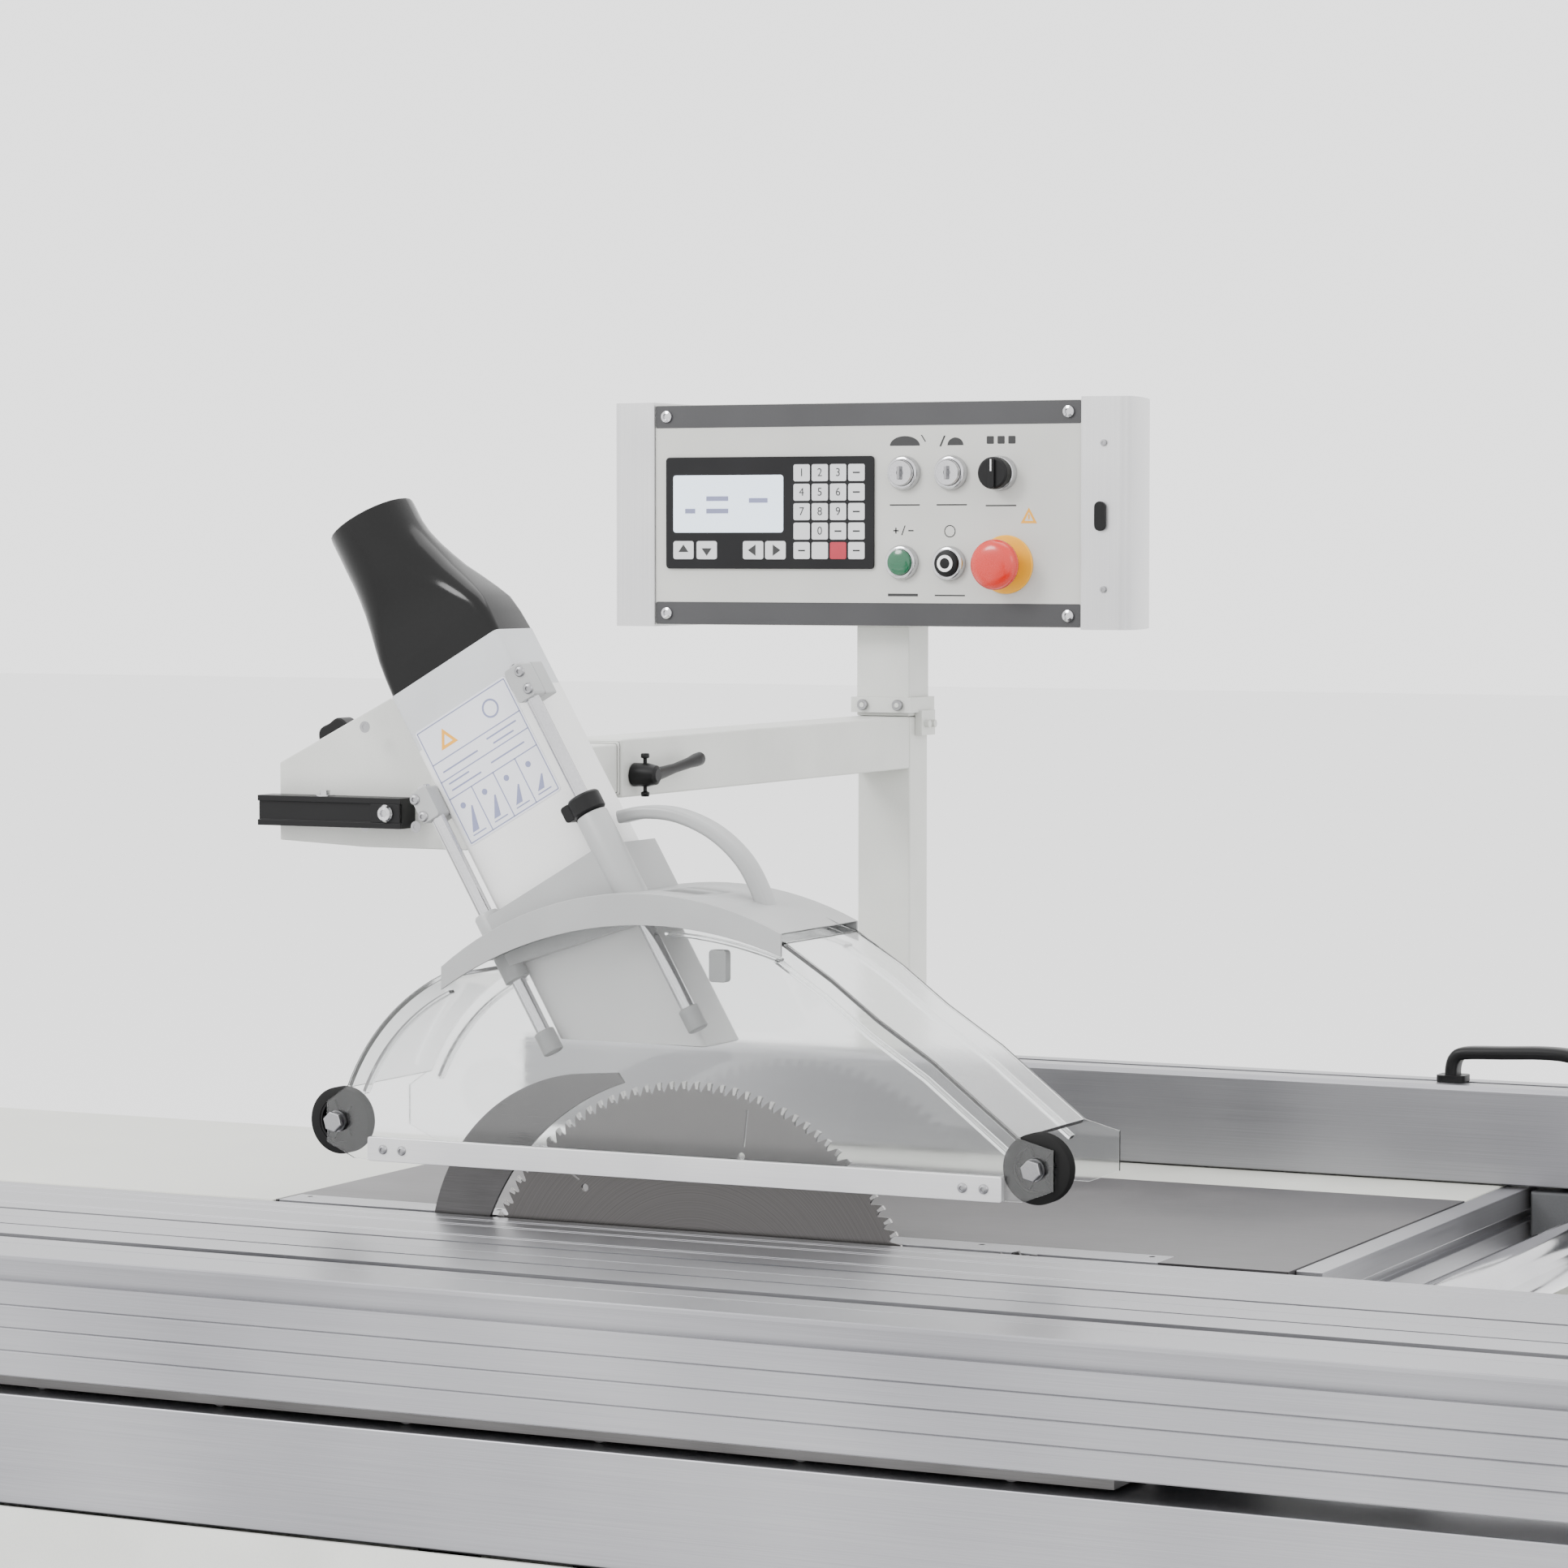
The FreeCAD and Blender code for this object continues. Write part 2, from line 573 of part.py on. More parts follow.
def fence_round_bar():
    return cyl(BAR_R, RAIL_Y[1] - RAIL_Y[0], V(BAR_X, RAIL_Y[0], -BAR_DROP), Y)


HEAD_X = (IRON_X[1] + RAIL_W + 4, 690.0)
HEAD_Y = (FENCE_NEAR + 2, FENCE_NEAR + 122)


def fence_head():
    """Casting that rides on the round bar and holds the fence profile from behind."""
    saddle = box(HEAD_X, HEAD_Y, (-BAR_DROP - BAR_R + 10, -3))
    upright = box((HEAD_X[0] + 10, HEAD_X[1] - 10), (FENCE_NEAR + FENCE_W + SLIDE_GAP, FENCE_NEAR + 102),
                  (-4, 70))
    body = fused(saddle, upright)
    r = BAR_R + SLIDE_GAP
    bore = cyl(r, 200, V(BAR_X, HEAD_Y[0] - 20, -BAR_DROP), Y)
    throat = box((BAR_X - r, BAR_X + r), (HEAD_Y[0] - 20, HEAD_Y[1] + 20), (-120, -BAR_DROP))
    return body.cut(bore).cut(throat).removeSplitter()


def fence_profile():
    y = (FENCE_NEAR, FENCE_NEAR + FENCE_W)
    z = (FENCE_LIFT, FENCE_LIFT + FENCE_H)
    skin = hollow_x(FENCE_X, y, z, 3.5)
    mid = box(FENCE_X, (y[0] + 3, y[1] - 3), (z[0] + 40, z[0] + 44))
    return fused(skin, mid)


def fence_bow_handle():
    """Black bow grip on top of the fence."""
    y = (FENCE_NEAR + 18, FENCE_NEAR + 42)
    base = FENCE_LIFT + FENCE_H + GAP
    outer = [(440, base), (440, base + 22), (448, base + 30), (560, base + 34), (586, base + 26), (590, base)]
    inner = [(466, base - 1), (466, base + 14), (472, base + 19), (554, base + 22), (566, base + 16),
             (568, base - 1)]
    return slab(outer, y[1] - y[0], in_xz(y[0]), Y).cut(slab(inner, y[1] - y[0] + 2, in_xz(y[0] - 1), Y))


LEVER_Y, LEVER_Z = FENCE_NEAR + 62, -22.0


def fence_clamp_lever():
    x = HEAD_X[1] + GAP
    hub = cyl(15, 16, V(x, LEVER_Y, LEVER_Z), X)
    arm = box((x + 4, x + 14), (LEVER_Y - 7, LEVER_Y + 7), (LEVER_Z - 110, LEVER_Z))
    grip = cyl(12, 34, V(x + 9, LEVER_Y, LEVER_Z - 136), Z)
    return fused(hub, arm, grip)


parts["fence_rail"] = fence_rail()
parts["fence_round_bar"] = fence_round_bar()
parts["fence_head"] = fence_head()
parts["fence_profile"] = fence_profile()
parts["fence_bow_handle"] = fence_bow_handle()
parts["fence_clamp_lever"] = fence_clamp_lever()


# ---------------------------------------------------------------- guard post and arm
def guard_post():
    top = ARM_Z + ARM_H / 2
    tube = tube_z(POST_X, POST_Y, POST_W, POST_D, (-TABLE_HEIGHT + 12, top), TUBE_T)
    foot = box((POST_X - 100, POST_X + 100), (POST_Y - 100, POST_Y + 100), (-TABLE_HEIGHT, -TABLE_HEIGHT + 12))
    tie = box((POST_X - 30, POST_X + 30), (EXTENSION_Y + GAP, POST_Y - POST_D / 2), (-IRON_RIM, -4))
    return fused(tube, foot, tie)


def panel_post():
    low = ARM_Z + ARM_H / 2 + GAP
    tube = tube_z(POST_X, POST_Y, POST_W, PANEL_POST_D, (low, PANEL_Z[0] - 6), TUBE_T)
    cap = box((POST_X - POST_W / 2, POST_X + POST_W / 2), (POST_Y - PANEL_POST_D / 2, POST_Y + PANEL_POST_D / 2),
              (PANEL_Z[0] - 6, PANEL_Z[0] - GAP))
    pin = cyl(14, 40, V(POST_X, POST_Y, PANEL_Z[0] - 6), Z)
    return fused(tube, cap, pin)


def post_collar():
    """Clamp collar over the joint between the two post tubes, with its screws."""
    z = (ARM_Z + ARM_H / 2 + 4, ARM_Z + ARM_H / 2 + 20)
    band = tube_z(POST_X, POST_Y, POST_W + 9, PANEL_POST_D + 9, z, 4.4)
    x = POST_X + POST_W / 2
    lug = box((x + 0.2, x + 8), (POST_Y - 10, POST_Y + 24), (z[0] - 24, z[0] + 2))
    screws = [cyl(4, 5, V(x + 8, POST_Y + dy, z[0] - 12), X) for dy in (0, 14)]
    heads = [cyl(3.5, 5, V(POST_X + dx, POST_Y - PANEL_POST_D / 2 - 4.5 - 5, z[0] + 8), Y) for dx in (-20, 20)]
    return fused(band, lug, *(screws + heads))


def arm_outer():
    return tube_y(POST_X, ARM_Z, POST_W, ARM_H, (ARM_END, POST_Y - POST_D / 2 - GAP), TUBE_T)


def arm_inner():
    width = POST_W - 2 * TUBE_T - 2 * SLIDE_GAP
    height = ARM_H - 2 * TUBE_T - 2 * SLIDE_GAP
    return tube_y(POST_X, ARM_Z, width, height, ARM_INNER_Y, TUBE_T)


CLAMP_AT = V(POST_X + POST_W / 2 + GAP, 462.0, 343.0)


def arm_clamp_lever():
    hub = cyl(13, 26, CLAMP_AT, X)
    reach = CLAMP_AT + V(18, 0, 0)
    arm = slab([(-12, -8), (70, 4), (100, 8), (104, 16), (96, 20), (68, 16), (-12, 10)], 10,
               lambda a, b: V(reach.x - 5, reach.y + a, reach.z + b), X)
    return fused(hub, arm)


parts["guard_post"] = guard_post()
parts["panel_post"] = panel_post()
parts["post_collar"] = post_collar()
parts["arm_outer"] = arm_outer()
parts["arm_inner"] = arm_inner()
parts["arm_clamp_lever"] = arm_clamp_lever()


# ---------------------------------------------------------------- extraction duct and its bracket
PLATE_Y = (85.0, ARM_INNER_Y[0] - GAP)


def guard_bracket_plate():
    outline = [(-448, 300), (-448, 367), (-337, 424), (-262, 424), (-222, 370), (-222, 330), (-262, 296),
               (-362, 296)]
    plate = slab(outline, PLATE_Y[1] - PLATE_Y[0], in_xz(PLATE_Y[0]), Y)
    spacer = box((-285, -222), (DUCT_Y[1] + GAP, PLATE_Y[0] + 1), (335, 370))
    return fused(plate, spacer)


KNOB_AT = V(-400.0, PLATE_Y[1] + GAP, 384.0)


def bracket_knob():
    return fused(cyl(22, 20, KNOB_AT + Y * 6, Y), cyl(10, 6.5, KNOB_AT, Y))


def channel_bar():
    """Black U channel fixed across the bracket plate."""
    x, z = (-455.0, -312.0), (314.0, 340.0)
    y = (PLATE_Y[0] - 21, PLATE_Y[0] - GAP)
    bar = box(x, y, z).cut(box((x[0] - 1, x[1] - 8), (y[0] + 3, y[1] + 1), (z[0] + 3, z[1] - 3)))
    bolt = cyl(6, 4, V(x[1] - 14, y[0] - 4, z[0] + 13), Y)
    return fused(bar, bolt)


def extraction_duct():
    """Rectangular leaning duct with the clamp blocks that hold the guide rods."""
    s = (60.0, DUCT_TOP)
    outer = lean_box(s, DUCT_T, DUCT_Y)
    inner = lean_box((s[0] - 1, s[1] + 1), (DUCT_T[0] + DUCT_WALL, DUCT_T[1] - DUCT_WALL),
                     (DUCT_Y[0] + DUCT_WALL, DUCT_Y[1] - DUCT_WALL))
    blocks = [lean_box((400, 432), (ROD_T[0] - 14, ROD_T[0] + 8), (ROD_Y - 9, DUCT_Y[0] + 1)),
              lean_box((400, 432), (ROD_T[0] - 14, DUCT_T[0] + 1), (ROD_Y - 9, DUCT_Y[0] + 20)),
              lean_box((440, 476), (ROD_T[1] - 10, ROD_T[1] + 10), (ROD_Y - 9, DUCT_Y[0] + 1)),
              lean_box((440, 476), (DUCT_T[1] - 1, ROD_T[1] + 10), (ROD_Y - 9, DUCT_Y[0] + 20))]
    duct = fused(outer, *blocks).cut(inner)
    duct = duct.cut(box((-400, 400), (-100, 200), (-200, DUCT_LOW_Z)))
    for t in ROD_T:
        duct = duct.cut(cyl(ROD_R, 300, lean(300, t, ROD_Y), UP_LEAN))
    return duct


def guide_rods():
    rods = []
    for t, s in ((ROD_T[0], (195, 432)), (ROD_T[1], (150, 476))):
        rod = cyl(ROD_R, s[1] - s[0], lean(s[0], t, ROD_Y), UP_LEAN)
        cap = cyl(ROD_R + 3, 20, lean(s[0] - 12, t, ROD_Y), UP_LEAN)
        rods.append(rod.fuse(cap).removeSplitter())
    return group(*rods)


def rounded(width, depth, r, mid_t, s):
    """A rounded rectangle across the duct, as a wire of eight edges."""
    w, d = width / 2 - r, depth / 2 - r
    mid_y = (DUCT_Y[0] + DUCT_Y[1]) / 2
    k = r * math.sqrt(0.5)

    def at(t, y):
        return lean(s, mid_t + t, mid_y + y)

    edges = []
    for (ct, cy), (dt, dy) in (((w, d), (1, 1)), ((-w, d), (-1, 1)), ((-w, -d), (-1, -1)), ((w, -d), (1, -1))):
        first = at(ct + dt * r, cy) if dt * dy > 0 else at(ct, cy + dy * r)
        last = at(ct, cy + dy * r) if dt * dy > 0 else at(ct + dt * r, cy)
        edges.append((first, at(ct + dt * k, cy + dy * k), last))
    wire = []
    for n, (first, middle, last) in enumerate(edges):
        wire.append(Part.Arc(first, middle, last).toShape())
        wire.append(Part.LineSegment(last, edges[(n + 1) % 4][0]).toShape())
    return Part.Wire(wire)


def duct_spout():
    """Moulded spout: rectangular foot on the duct, round mouth for an extraction hose."""
    mid = (DUCT_T[0] + DUCT_T[1]) / 2
    width, depth = DUCT_T[1] - DUCT_T[0], DUCT_Y[1] - DUCT_Y[0]
    mouth_mid = lean(SPOUT_TOP - 25, mid - 16, (DUCT_Y[0] + DUCT_Y[1]) / 2)

    def skin(less):
        w, d, r = width - 2 * less, depth - 2 * less, SPOUT_R - less
        stages = [rounded(w, d, 6, mid, DUCT_TOP + GAP), rounded(w, d, 8, mid, DUCT_TOP + 25),
                  rounded(2 * r + 16, 2 * r - 4, r - 4, mid - 8, DUCT_TOP + 85),
                  rounded(2 * r - 1, 2 * r - 1, r - 0.7, mid - 16, SPOUT_TOP - 25)]
        return Part.makeLoft(stages, True, False)

    mouth = ring(SPOUT_R, SPOUT_R - SPOUT_WALL, 25, mouth_mid, UP_LEAN)
    return group(skin(0.0).cut(skin(SPOUT_WALL)), mouth)


parts["guard_bracket_plate"] = guard_bracket_plate()
parts["bracket_knob"] = bracket_knob()
parts["channel_bar"] = channel_bar()
parts["extraction_duct"] = extraction_duct()
parts["guide_rods"] = guide_rods()
parts["duct_spout"] = duct_spout()


# ---------------------------------------------------------------- hood
def arch(points, y):
    """Lines and arcs through (x, z) points: a triple is an arc's middle and end, a pair a line's end."""
    at = in_xz(y)
    here = at(*points[0])
    edges = []
    for step in points[1:]:
        if len(step) == 2:
            there = at(*step)
            edges.append(Part.LineSegment(here, there).toShape())
        else:
            there = at(step[2], step[3])
            edges.append(Part.Arc(here, at(step[0], step[1]), there).toShape())
        here = there
    return edges, here


def arched_slab(points, y):
    edges, _ = arch(points, y[0])
    return Part.Face(Part.Wire(edges)).extrude(Y * (y[1] - y[0]))


HOOD_OUTLINE = [(-300, HOOD_LOW), (-326, 58), (-326, 92), (-306, 106), (-272, 160, -216, 202),
                (-64, 256, 98, 240), (180, 183), (228, 152), (300, 96), (330, 88), (330, 56), (304, HOOD_LOW),
                (-300, HOOD_LOW)]
HOOD_INSIDE = [(-300, HOOD_LOW - 1), (-300, 105), (-268, 156, -213, 198), (-64, 252, 96, 236),
               (178, 180), (226, 149), (296, 95), (296, HOOD_LOW - 1), (-300, HOOD_LOW - 1)]


def hood_shell():
    """Clear hood: two side walls and an arched skin, open below and round the duct."""
    near = (HOOD_Y[0], HOOD_Y[0] + HOOD_WALL)
    far = (HOOD_Y[1] - HOOD_WALL, HOOD_Y[1])
    body = arched_slab(HOOD_OUTLINE, HOOD_Y)
    body = body.cut(arched_slab(HOOD_INSIDE, (near[1], far[0])))
    for x, z in ROLLERS:
        end = box((x - 40, x + 40), (near[1], far[0]), (z - 34, z + 22))
        well = cyl(ROLLER_R + 3, ROLLER_W + 6, V(x, near[1], z), Y)
        body = body.cut(end).cut(well)
        body = body.cut(cyl(5 + GAP, 20, V(x, HOOD_Y[0] - 10, z), Y))
    window = lean_box((150, 400), (ROD_T[0] - 20, ROD_T[1] + 18), (near[1], DUCT_Y[1] + 9))
    return body.cut(window).removeSplitter()


ARCH = ((-216.0, 202.0), (-64.0, 256.0), (98.0, 240.0))      # top of the hood under the cap
CAP_EDGE = [(-214, 196), (-214, 211), (-62, 275, 97, 248), (97, 232), (-214, 196)]
SKIRT_EDGE = [(-214, 186), (-214, 211), (-62, 275, 97, 248), (97, 224), (-64, 246, -214, 186)]


def circle_through(a, b, c):
    """Centre and radius of the circle through three (x, z) points."""
    d = 2 * (a[0] * (b[1] - c[1]) + b[0] * (c[1] - a[1]) + c[0] * (a[1] - b[1]))
    sq = [p[0] ** 2 + p[1] ** 2 for p in (a, b, c)]
    cx = (sq[0] * (b[1] - c[1]) + sq[1] * (c[1] - a[1]) + sq[2] * (a[1] - b[1])) / d
    cz = (sq[0] * (c[0] - b[0]) + sq[1] * (a[0] - c[0]) + sq[2] * (b[0] - a[0])) / d
    return cx, cz, math.hypot(a[0] - cx, a[1] - cz)


def hood_cap():
    """Grey moulding over the arch: a curved band, a collar round the duct, a rod sleeve and a grip."""
    y = (HOOD_Y[0] - 3, HOOD_Y[1] + 3)
    cx, cz, r = circle_through(*ARCH)
    under = cyl(r + GAP, HOOD_Y[1] - HOOD_Y[0] + 2 * GAP, V(cx, HOOD_Y[0] - GAP, cz), Y)
    band = arched_slab(CAP_EDGE, y).cut(under)
    skirt_out = arched_slab(SKIRT_EDGE, (y[0], HOOD_Y[0] - GAP))
    skirt_far = arched_slab(SKIRT_EDGE, (HOOD_Y[1] + GAP, y[1]))
    collar = lean_box((238, 308), (DUCT_T[0] - 8, DUCT_T[1] + 8), (ROD_Y - 10, DUCT_Y[1] + 8))
    web = slab([(-176, 222), (-176, 252), (-157, 262), (-110, 284), (-60, 250)], DUCT_Y[1] + 8 - (ROD_Y - 10),
               in_xz(ROD_Y - 10), Y)
    right_sleeve = cyl(14, 110, lean(240, ROD_T[1], ROD_Y), UP_LEAN)
    left_boss = cyl(11, 56, lean(246, ROD_T[0] - 1, ROD_Y), UP_LEAN)
    grip = grip_bow((22.0, 44.0)).cut(under)
    body = fused(band, skirt_out, skirt_far, collar, web, right_sleeve, left_boss, grip)
    body = body.cut(lean_box((150, 420), (DUCT_T[0] - 1, DUCT_T[1] + 1), (DUCT_Y[0] - 1, DUCT_Y[1] + 1)))
    for t in ROD_T:
        body = body.cut(cyl(ROD_R + RUN, 300, lean(150, t, ROD_Y), UP_LEAN))
    return body.removeSplitter()


def grip_bow(y):
    """D-shaped carrying grip from the collar to the arch."""
    outer = [(-92, 326), (-84, 342), (-60, 344, -30, 341), (30, 318, 58, 246), (44, 250),
             (18, 306, -32, 329), (-56, 333, -78, 328), (-80, 308), (-92, 326)]
    return arched_slab(outer, y)


def hood_bottom_bar():
    """Aluminium bar along the near wall, and the bolts that carry the rollers."""
    y = (HOOD_Y[0] - 6 - GAP, HOOD_Y[0] - GAP)
    bar = box((-283, 289), y, (HOOD_LOW - 0.5, HOOD_LOW + 19.5))
    bolts = []
    for x, z in ROLLERS:
        shank = cyl(5, ROLLER_W + 14, V(x, HOOD_Y[0] - 4, z), Y)
        head = cyl(9, 5, V(x, HOOD_Y[0] - 9, z), Y)
        washer = cyl(9, 3, V(x, HOOD_Y[0] + HOOD_WALL + ROLLER_W + 2.6, z), Y)
        bolts.append(shank.fuse([head, washer]).removeSplitter())
    return group(bar, *bolts)


def hold_down_roller(x, z):
    y0 = HOOD_Y[0] + HOOD_WALL + 1.0
    wheel = cyl(ROLLER_R, ROLLER_W, V(x, y0, z), Y)
    wheel = wheel.makeFillet(2.0, [e for e in wheel.Edges if e.Length > 100])
    return wheel.cut(cyl(5 + RUN, ROLLER_W + 2, V(x, y0 - 1, z), Y))


parts["hood_shell"] = hood_shell()
parts["hood_cap"] = hood_cap()
parts["hood_bottom_bar"] = hood_bottom_bar()
for side, (x, z) in zip(("left", "right"), ROLLERS):
    parts["hold_down_roller_" + side] = hold_down_roller(x, z)


# ---------------------------------------------------------------- control panel
PLATE_X = (PANEL_MID - PANEL_PLATE_W / 2, PANEL_MID + PANEL_PLATE_W / 2)
FACE = PANEL_FACE_Y
# control centres on the face (x, z) and the stem radius of each
CONTROLS = {
    "blade_key_switch": (-292.0, 629.0),
    "scoring_key_switch": (-239.0, 629.0),
    "mode_knob": (-184.0, 628.0),
    "start_button": (-294.0, 537.0),
    "stop_button": (-241.0, 536.0),
    "emergency_stop": (-178.0, 535.0),
}
STEM_R = 10.0
HEAD_R = 13.6


def panel_housing():
    x = (PLATE_X[0] + 1, PLATE_X[1] - 1)
    y = (FACE + SHEET_PANEL + GAP, FACE + PANEL_DEPTH)
    shell = box(x, y, PANEL_Z)
    inside = box((x[0] + SHEET_PANEL, x[1] - SHEET_PANEL), (y[0] - 1, y[1] - SHEET_PANEL),
                 (PANEL_Z[0] + SHEET_PANEL, PANEL_Z[1] - SHEET_PANEL))
    return shell.cut(inside).cut(cyl(14 + RUN, 20, V(POST_X, POST_Y, PANEL_Z[0] - 5), Z))


def panel_side_profiles():
    """Rounded aluminium profiles that cap both ends of the housing."""
    z = (PANEL_Z[0] - 2, PANEL_Z[1] + 3)
    ends = []
    for side, x in ((-1, PLATE_X[0] - GAP), (1, PLATE_X[1] + GAP)):
        w = side * (PANEL_W - PANEL_PLATE_W) / 2
        y0, y1 = FACE - 4, FACE + PANEL_DEPTH + 4
        at = in_xy(z[0])
        points = [at(x, y0 + 2), at(x + w * 0.55, y0), at(x + w * 0.86, y0 + 8), at(x + w, y0 + 34),
                  at(x + w, y1 - 26), at(x + w * 0.62, y1), at(x, y1)]
        edges = [Part.LineSegment(points[0], points[1]).toShape(),
                 Part.Arc(points[1], points[2], points[3]).toShape()]
        edges += [Part.LineSegment(points[n], points[n + 1]).toShape() for n in (3, 4, 5)]
        edges.append(Part.LineSegment(points[6], points[0]).toShape())
        ends.append(Part.Face(Part.Wire(edges)).extrude(Z * (z[1] - z[0])))
    return group(*ends)


def panel_face_plate():
    plate = box(PLATE_X, (FACE, FACE + SHEET_PANEL), PANEL_Z)
    for x, z in CONTROLS.values():
        plate = plate.cut(cyl(STEM_R + GAP, 10, V(x, FACE - 5, z), Y))
    return plate


def display_module():
    return box((-568, -326), (FACE - 3 - GAP, FACE - GAP), (530, 647))


def button_bezels():
    """Chrome collars of the controls and the wide collar of the emergency stop."""
    rings = []
    for name, (x, z) in CONTROLS.items():
        if name == "emergency_stop":
            rings.append(ring(30, HEAD_R + GAP, 2, V(x, FACE - 2 - GAP, z), Y))
        else:
            rings.append(ring(BEZEL_R, HEAD_R + GAP, 8, V(x, FACE - 8 - GAP, z), Y))
    return group(*rings)


def control(name, head):
    """A stem through the plate with its head in front."""
    x, z = CONTROLS[name]
    stem = cyl(STEM_R, 42, V(x, FACE - 6, z), Y)
    return stem.fuse(head(x, z)).removeSplitter()


def key_head(x, z):
    dial = cyl(HEAD_R, 8, V(x, FACE - 13, z), Y)
    return dial.fuse(box((x - 2, x + 2), (FACE - 27, FACE - 12), (z - 9, z + 9)))


def knob_head(x, z):
    dial = cyl(HEAD_R, 8, V(x, FACE - 13, z), Y)
    grip = box((x - 3, x + 3), (FACE - 27, FACE - 20), (z - 16, z + 16))
    return dial.fuse([cyl(16.5, 13, V(x, FACE - 24, z), Y), grip])


def push_head(x, z):
    return cyl(HEAD_R, 8, V(x, FACE - 13, z), Y)


def mushroom_head(x, z):
    neck = cyl(12, 21, V(x, FACE - 26, z), Y)
    dome = cyl(21.5, 16, V(x, FACE - 40, z), Y)
    dome = dome.makeFillet(6.0, [e for e in dome.Edges if abs(e.CenterOfMass.y - FACE + 40) < 0.1])
    return neck.fuse(dome)


parts["panel_housing"] = panel_housing()
parts["panel_side_profiles"] = panel_side_profiles()
parts["panel_face_plate"] = panel_face_plate()
parts["display_module"] = display_module()
parts["button_bezels"] = button_bezels()
parts["blade_key_switch"] = control("blade_key_switch", key_head)
parts["scoring_key_switch"] = control("scoring_key_switch", key_head)
parts["mode_knob"] = control("mode_knob", knob_head)
parts["start_button"] = control("start_button", push_head)
parts["stop_button"] = control("stop_button", push_head)
parts["emergency_stop"] = control("emergency_stop", mushroom_head)


# ---------------------------------------------------------------- base
CAB_Z = (-TABLE_HEIGHT + FOOT_H, -IRON_RIM - GAP)
CROSS_RAILS_Y = (285.0, IRON_Y[1] - 15)      # rails under the casting's rib and far rim
HINGE = V(-DOOR_X - 10, CAB_Y[0] - 7, 0)


def base_cabinet():
    """Welded box: low wall under the carriage beam, full height under the fixed tables."""
    x = CAB_X
    body = hollow(x, CAB_Y, CAB_Z, CAB_T, open_top=True)
    step = box((x[0] - 1, x[1] + 1), (CAB_Y[0] - 1, IRON_Y[0] - 10), (BEAM_LOW - GAP, 1))
    body = body.cut(step)
    seats = [box((xs, xs + 60), (CAB_Y[0] + 1, CARRIAGE_BOX_IN), (BEAM_LOW - GAP - 8, BEAM_LOW - GAP))
             for xs in (x[0] + 2, x[1] - 62)]
    rails = [box((x[0] + 1, x[1] - 1), (y, y + 20), (CAB_Z[1] - 40, CAB_Z[1])) for y in CROSS_RAILS_Y]
    body = body.fuse(seats + rails)
    opening = box((-DOOR_X + 20, DOOR_X - 20), (CAB_Y[0] - 1, CAB_Y[0] + CAB_T + 1), (DOOR_Z[0] + 20, DOOR_Z[1] - 20))
    body = body.cut(opening)
    port = cyl(HOSE_R - 3, 20, V(x[0] - 5, 150, -560), X)
    body = body.cut(port)
    for z in (DOOR_Z[0] + 60, DOOR_Z[1] - 110):
        body = body.fuse([cyl(6, 24, HINGE + Z * z, Z),
                          box((HINGE.x - 6, HINGE.x + 2), (HINGE.y, CAB_Y[0] + 1), (z, z + 24))])
        body = body.cut(cyl(3 + RUN, 30, HINGE + Z * (z - 1), Z))
    return body.removeSplitter()


def levelling_feet():
    feet = []
    for x in (CAB_X[0] + 60, CAB_X[1] - 60):
        for y in (CAB_Y[0] + 60, CAB_Y[1] - 60):
            pad = cyl(40, 14, V(x, y, -TABLE_HEIGHT), Z)
            stud = cyl(9, FOOT_H - 13 - GAP, V(x, y, -TABLE_HEIGHT + 13), Z)
            feet.append(pad.fuse(stud).removeSplitter())
    return group(*feet)


def service_door():
    """Door with returns, its hinge pins and barrels."""
    front = CAB_Y[0] - 5
    skin = box((-DOOR_X, DOOR_X), (front - 2, front), DOOR_Z)
    returns = [box((-DOOR_X, -DOOR_X + 2), (front - 1, CAB_Y[0] - GAP), DOOR_Z),
               box((DOOR_X - 2, DOOR_X), (front - 1, CAB_Y[0] - GAP), DOOR_Z)]
    handle = box((DOOR_X - 60, DOOR_X - 30), (front - 22, front - 1), (-600, -500))
    handle = handle.cut(box((DOOR_X - 61, DOOR_X - 29), (front - 14, front), (-585, -515)))
    door = fused(skin, handle, *returns)
    for z in (DOOR_Z[0] + 60, DOOR_Z[1] - 110):
        pin = cyl(3, 50, HINGE + Z * (z - 0.6), Z)
        barrel = cyl(6, 24, HINGE + Z * (z + 24.6), Z)
        leaf = box((HINGE.x, -DOOR_X + 1), (front - 2, front), (z + 24.6, z + 48.6))
        door = door.fuse([pin, barrel, leaf])
    return door.removeSplitter()


def dust_port():
    x = CAB_X[0] - GAP
    pipe = ring(HOSE_R, HOSE_R - 3, 80, V(x, 150, -560), -X)
    flange = ring(HOSE_R + 18, HOSE_R - 3, 4, V(x, 150, -560), -X)
    return fused(pipe, flange)


SWITCH_AT = V(CAB_X[1] + 82 + GAP, 325.0, -300.0)


def mains_switch_box():
    side = CAB_X[1]
    body = box((side + GAP, side + 80), (250, 400), (-420, -220))
    plate = box((side + 79, side + 82), (290, 360), (-335, -265))
    body = body.fuse(plate)
    return body.cut(cyl(5 + RUN, 30, V(SWITCH_AT.x - 20, SWITCH_AT.y, SWITCH_AT.z), X)).removeSplitter()


def mains_switch_knob():
    shaft = cyl(5, 20, SWITCH_AT - X * 15, X)
    dial = cyl(26, 8, SWITCH_AT, X)
    grip = box((SWITCH_AT.x + 4, SWITCH_AT.x + 26), (SWITCH_AT.y - 7, SWITCH_AT.y + 7), (SWITCH_AT.z - 24, SWITCH_AT.z + 24))
    return fused(shaft, dial, grip)


def cable_gland():
    at = V(CAB_X[1] + 40, 300, -420 - GAP)
    nut = cyl(16, 10, at, -Z)
    dome = cyl(12, 26, at, -Z)
    return fused(nut, dome).cut(cyl(7, 40, at + Z, -Z))


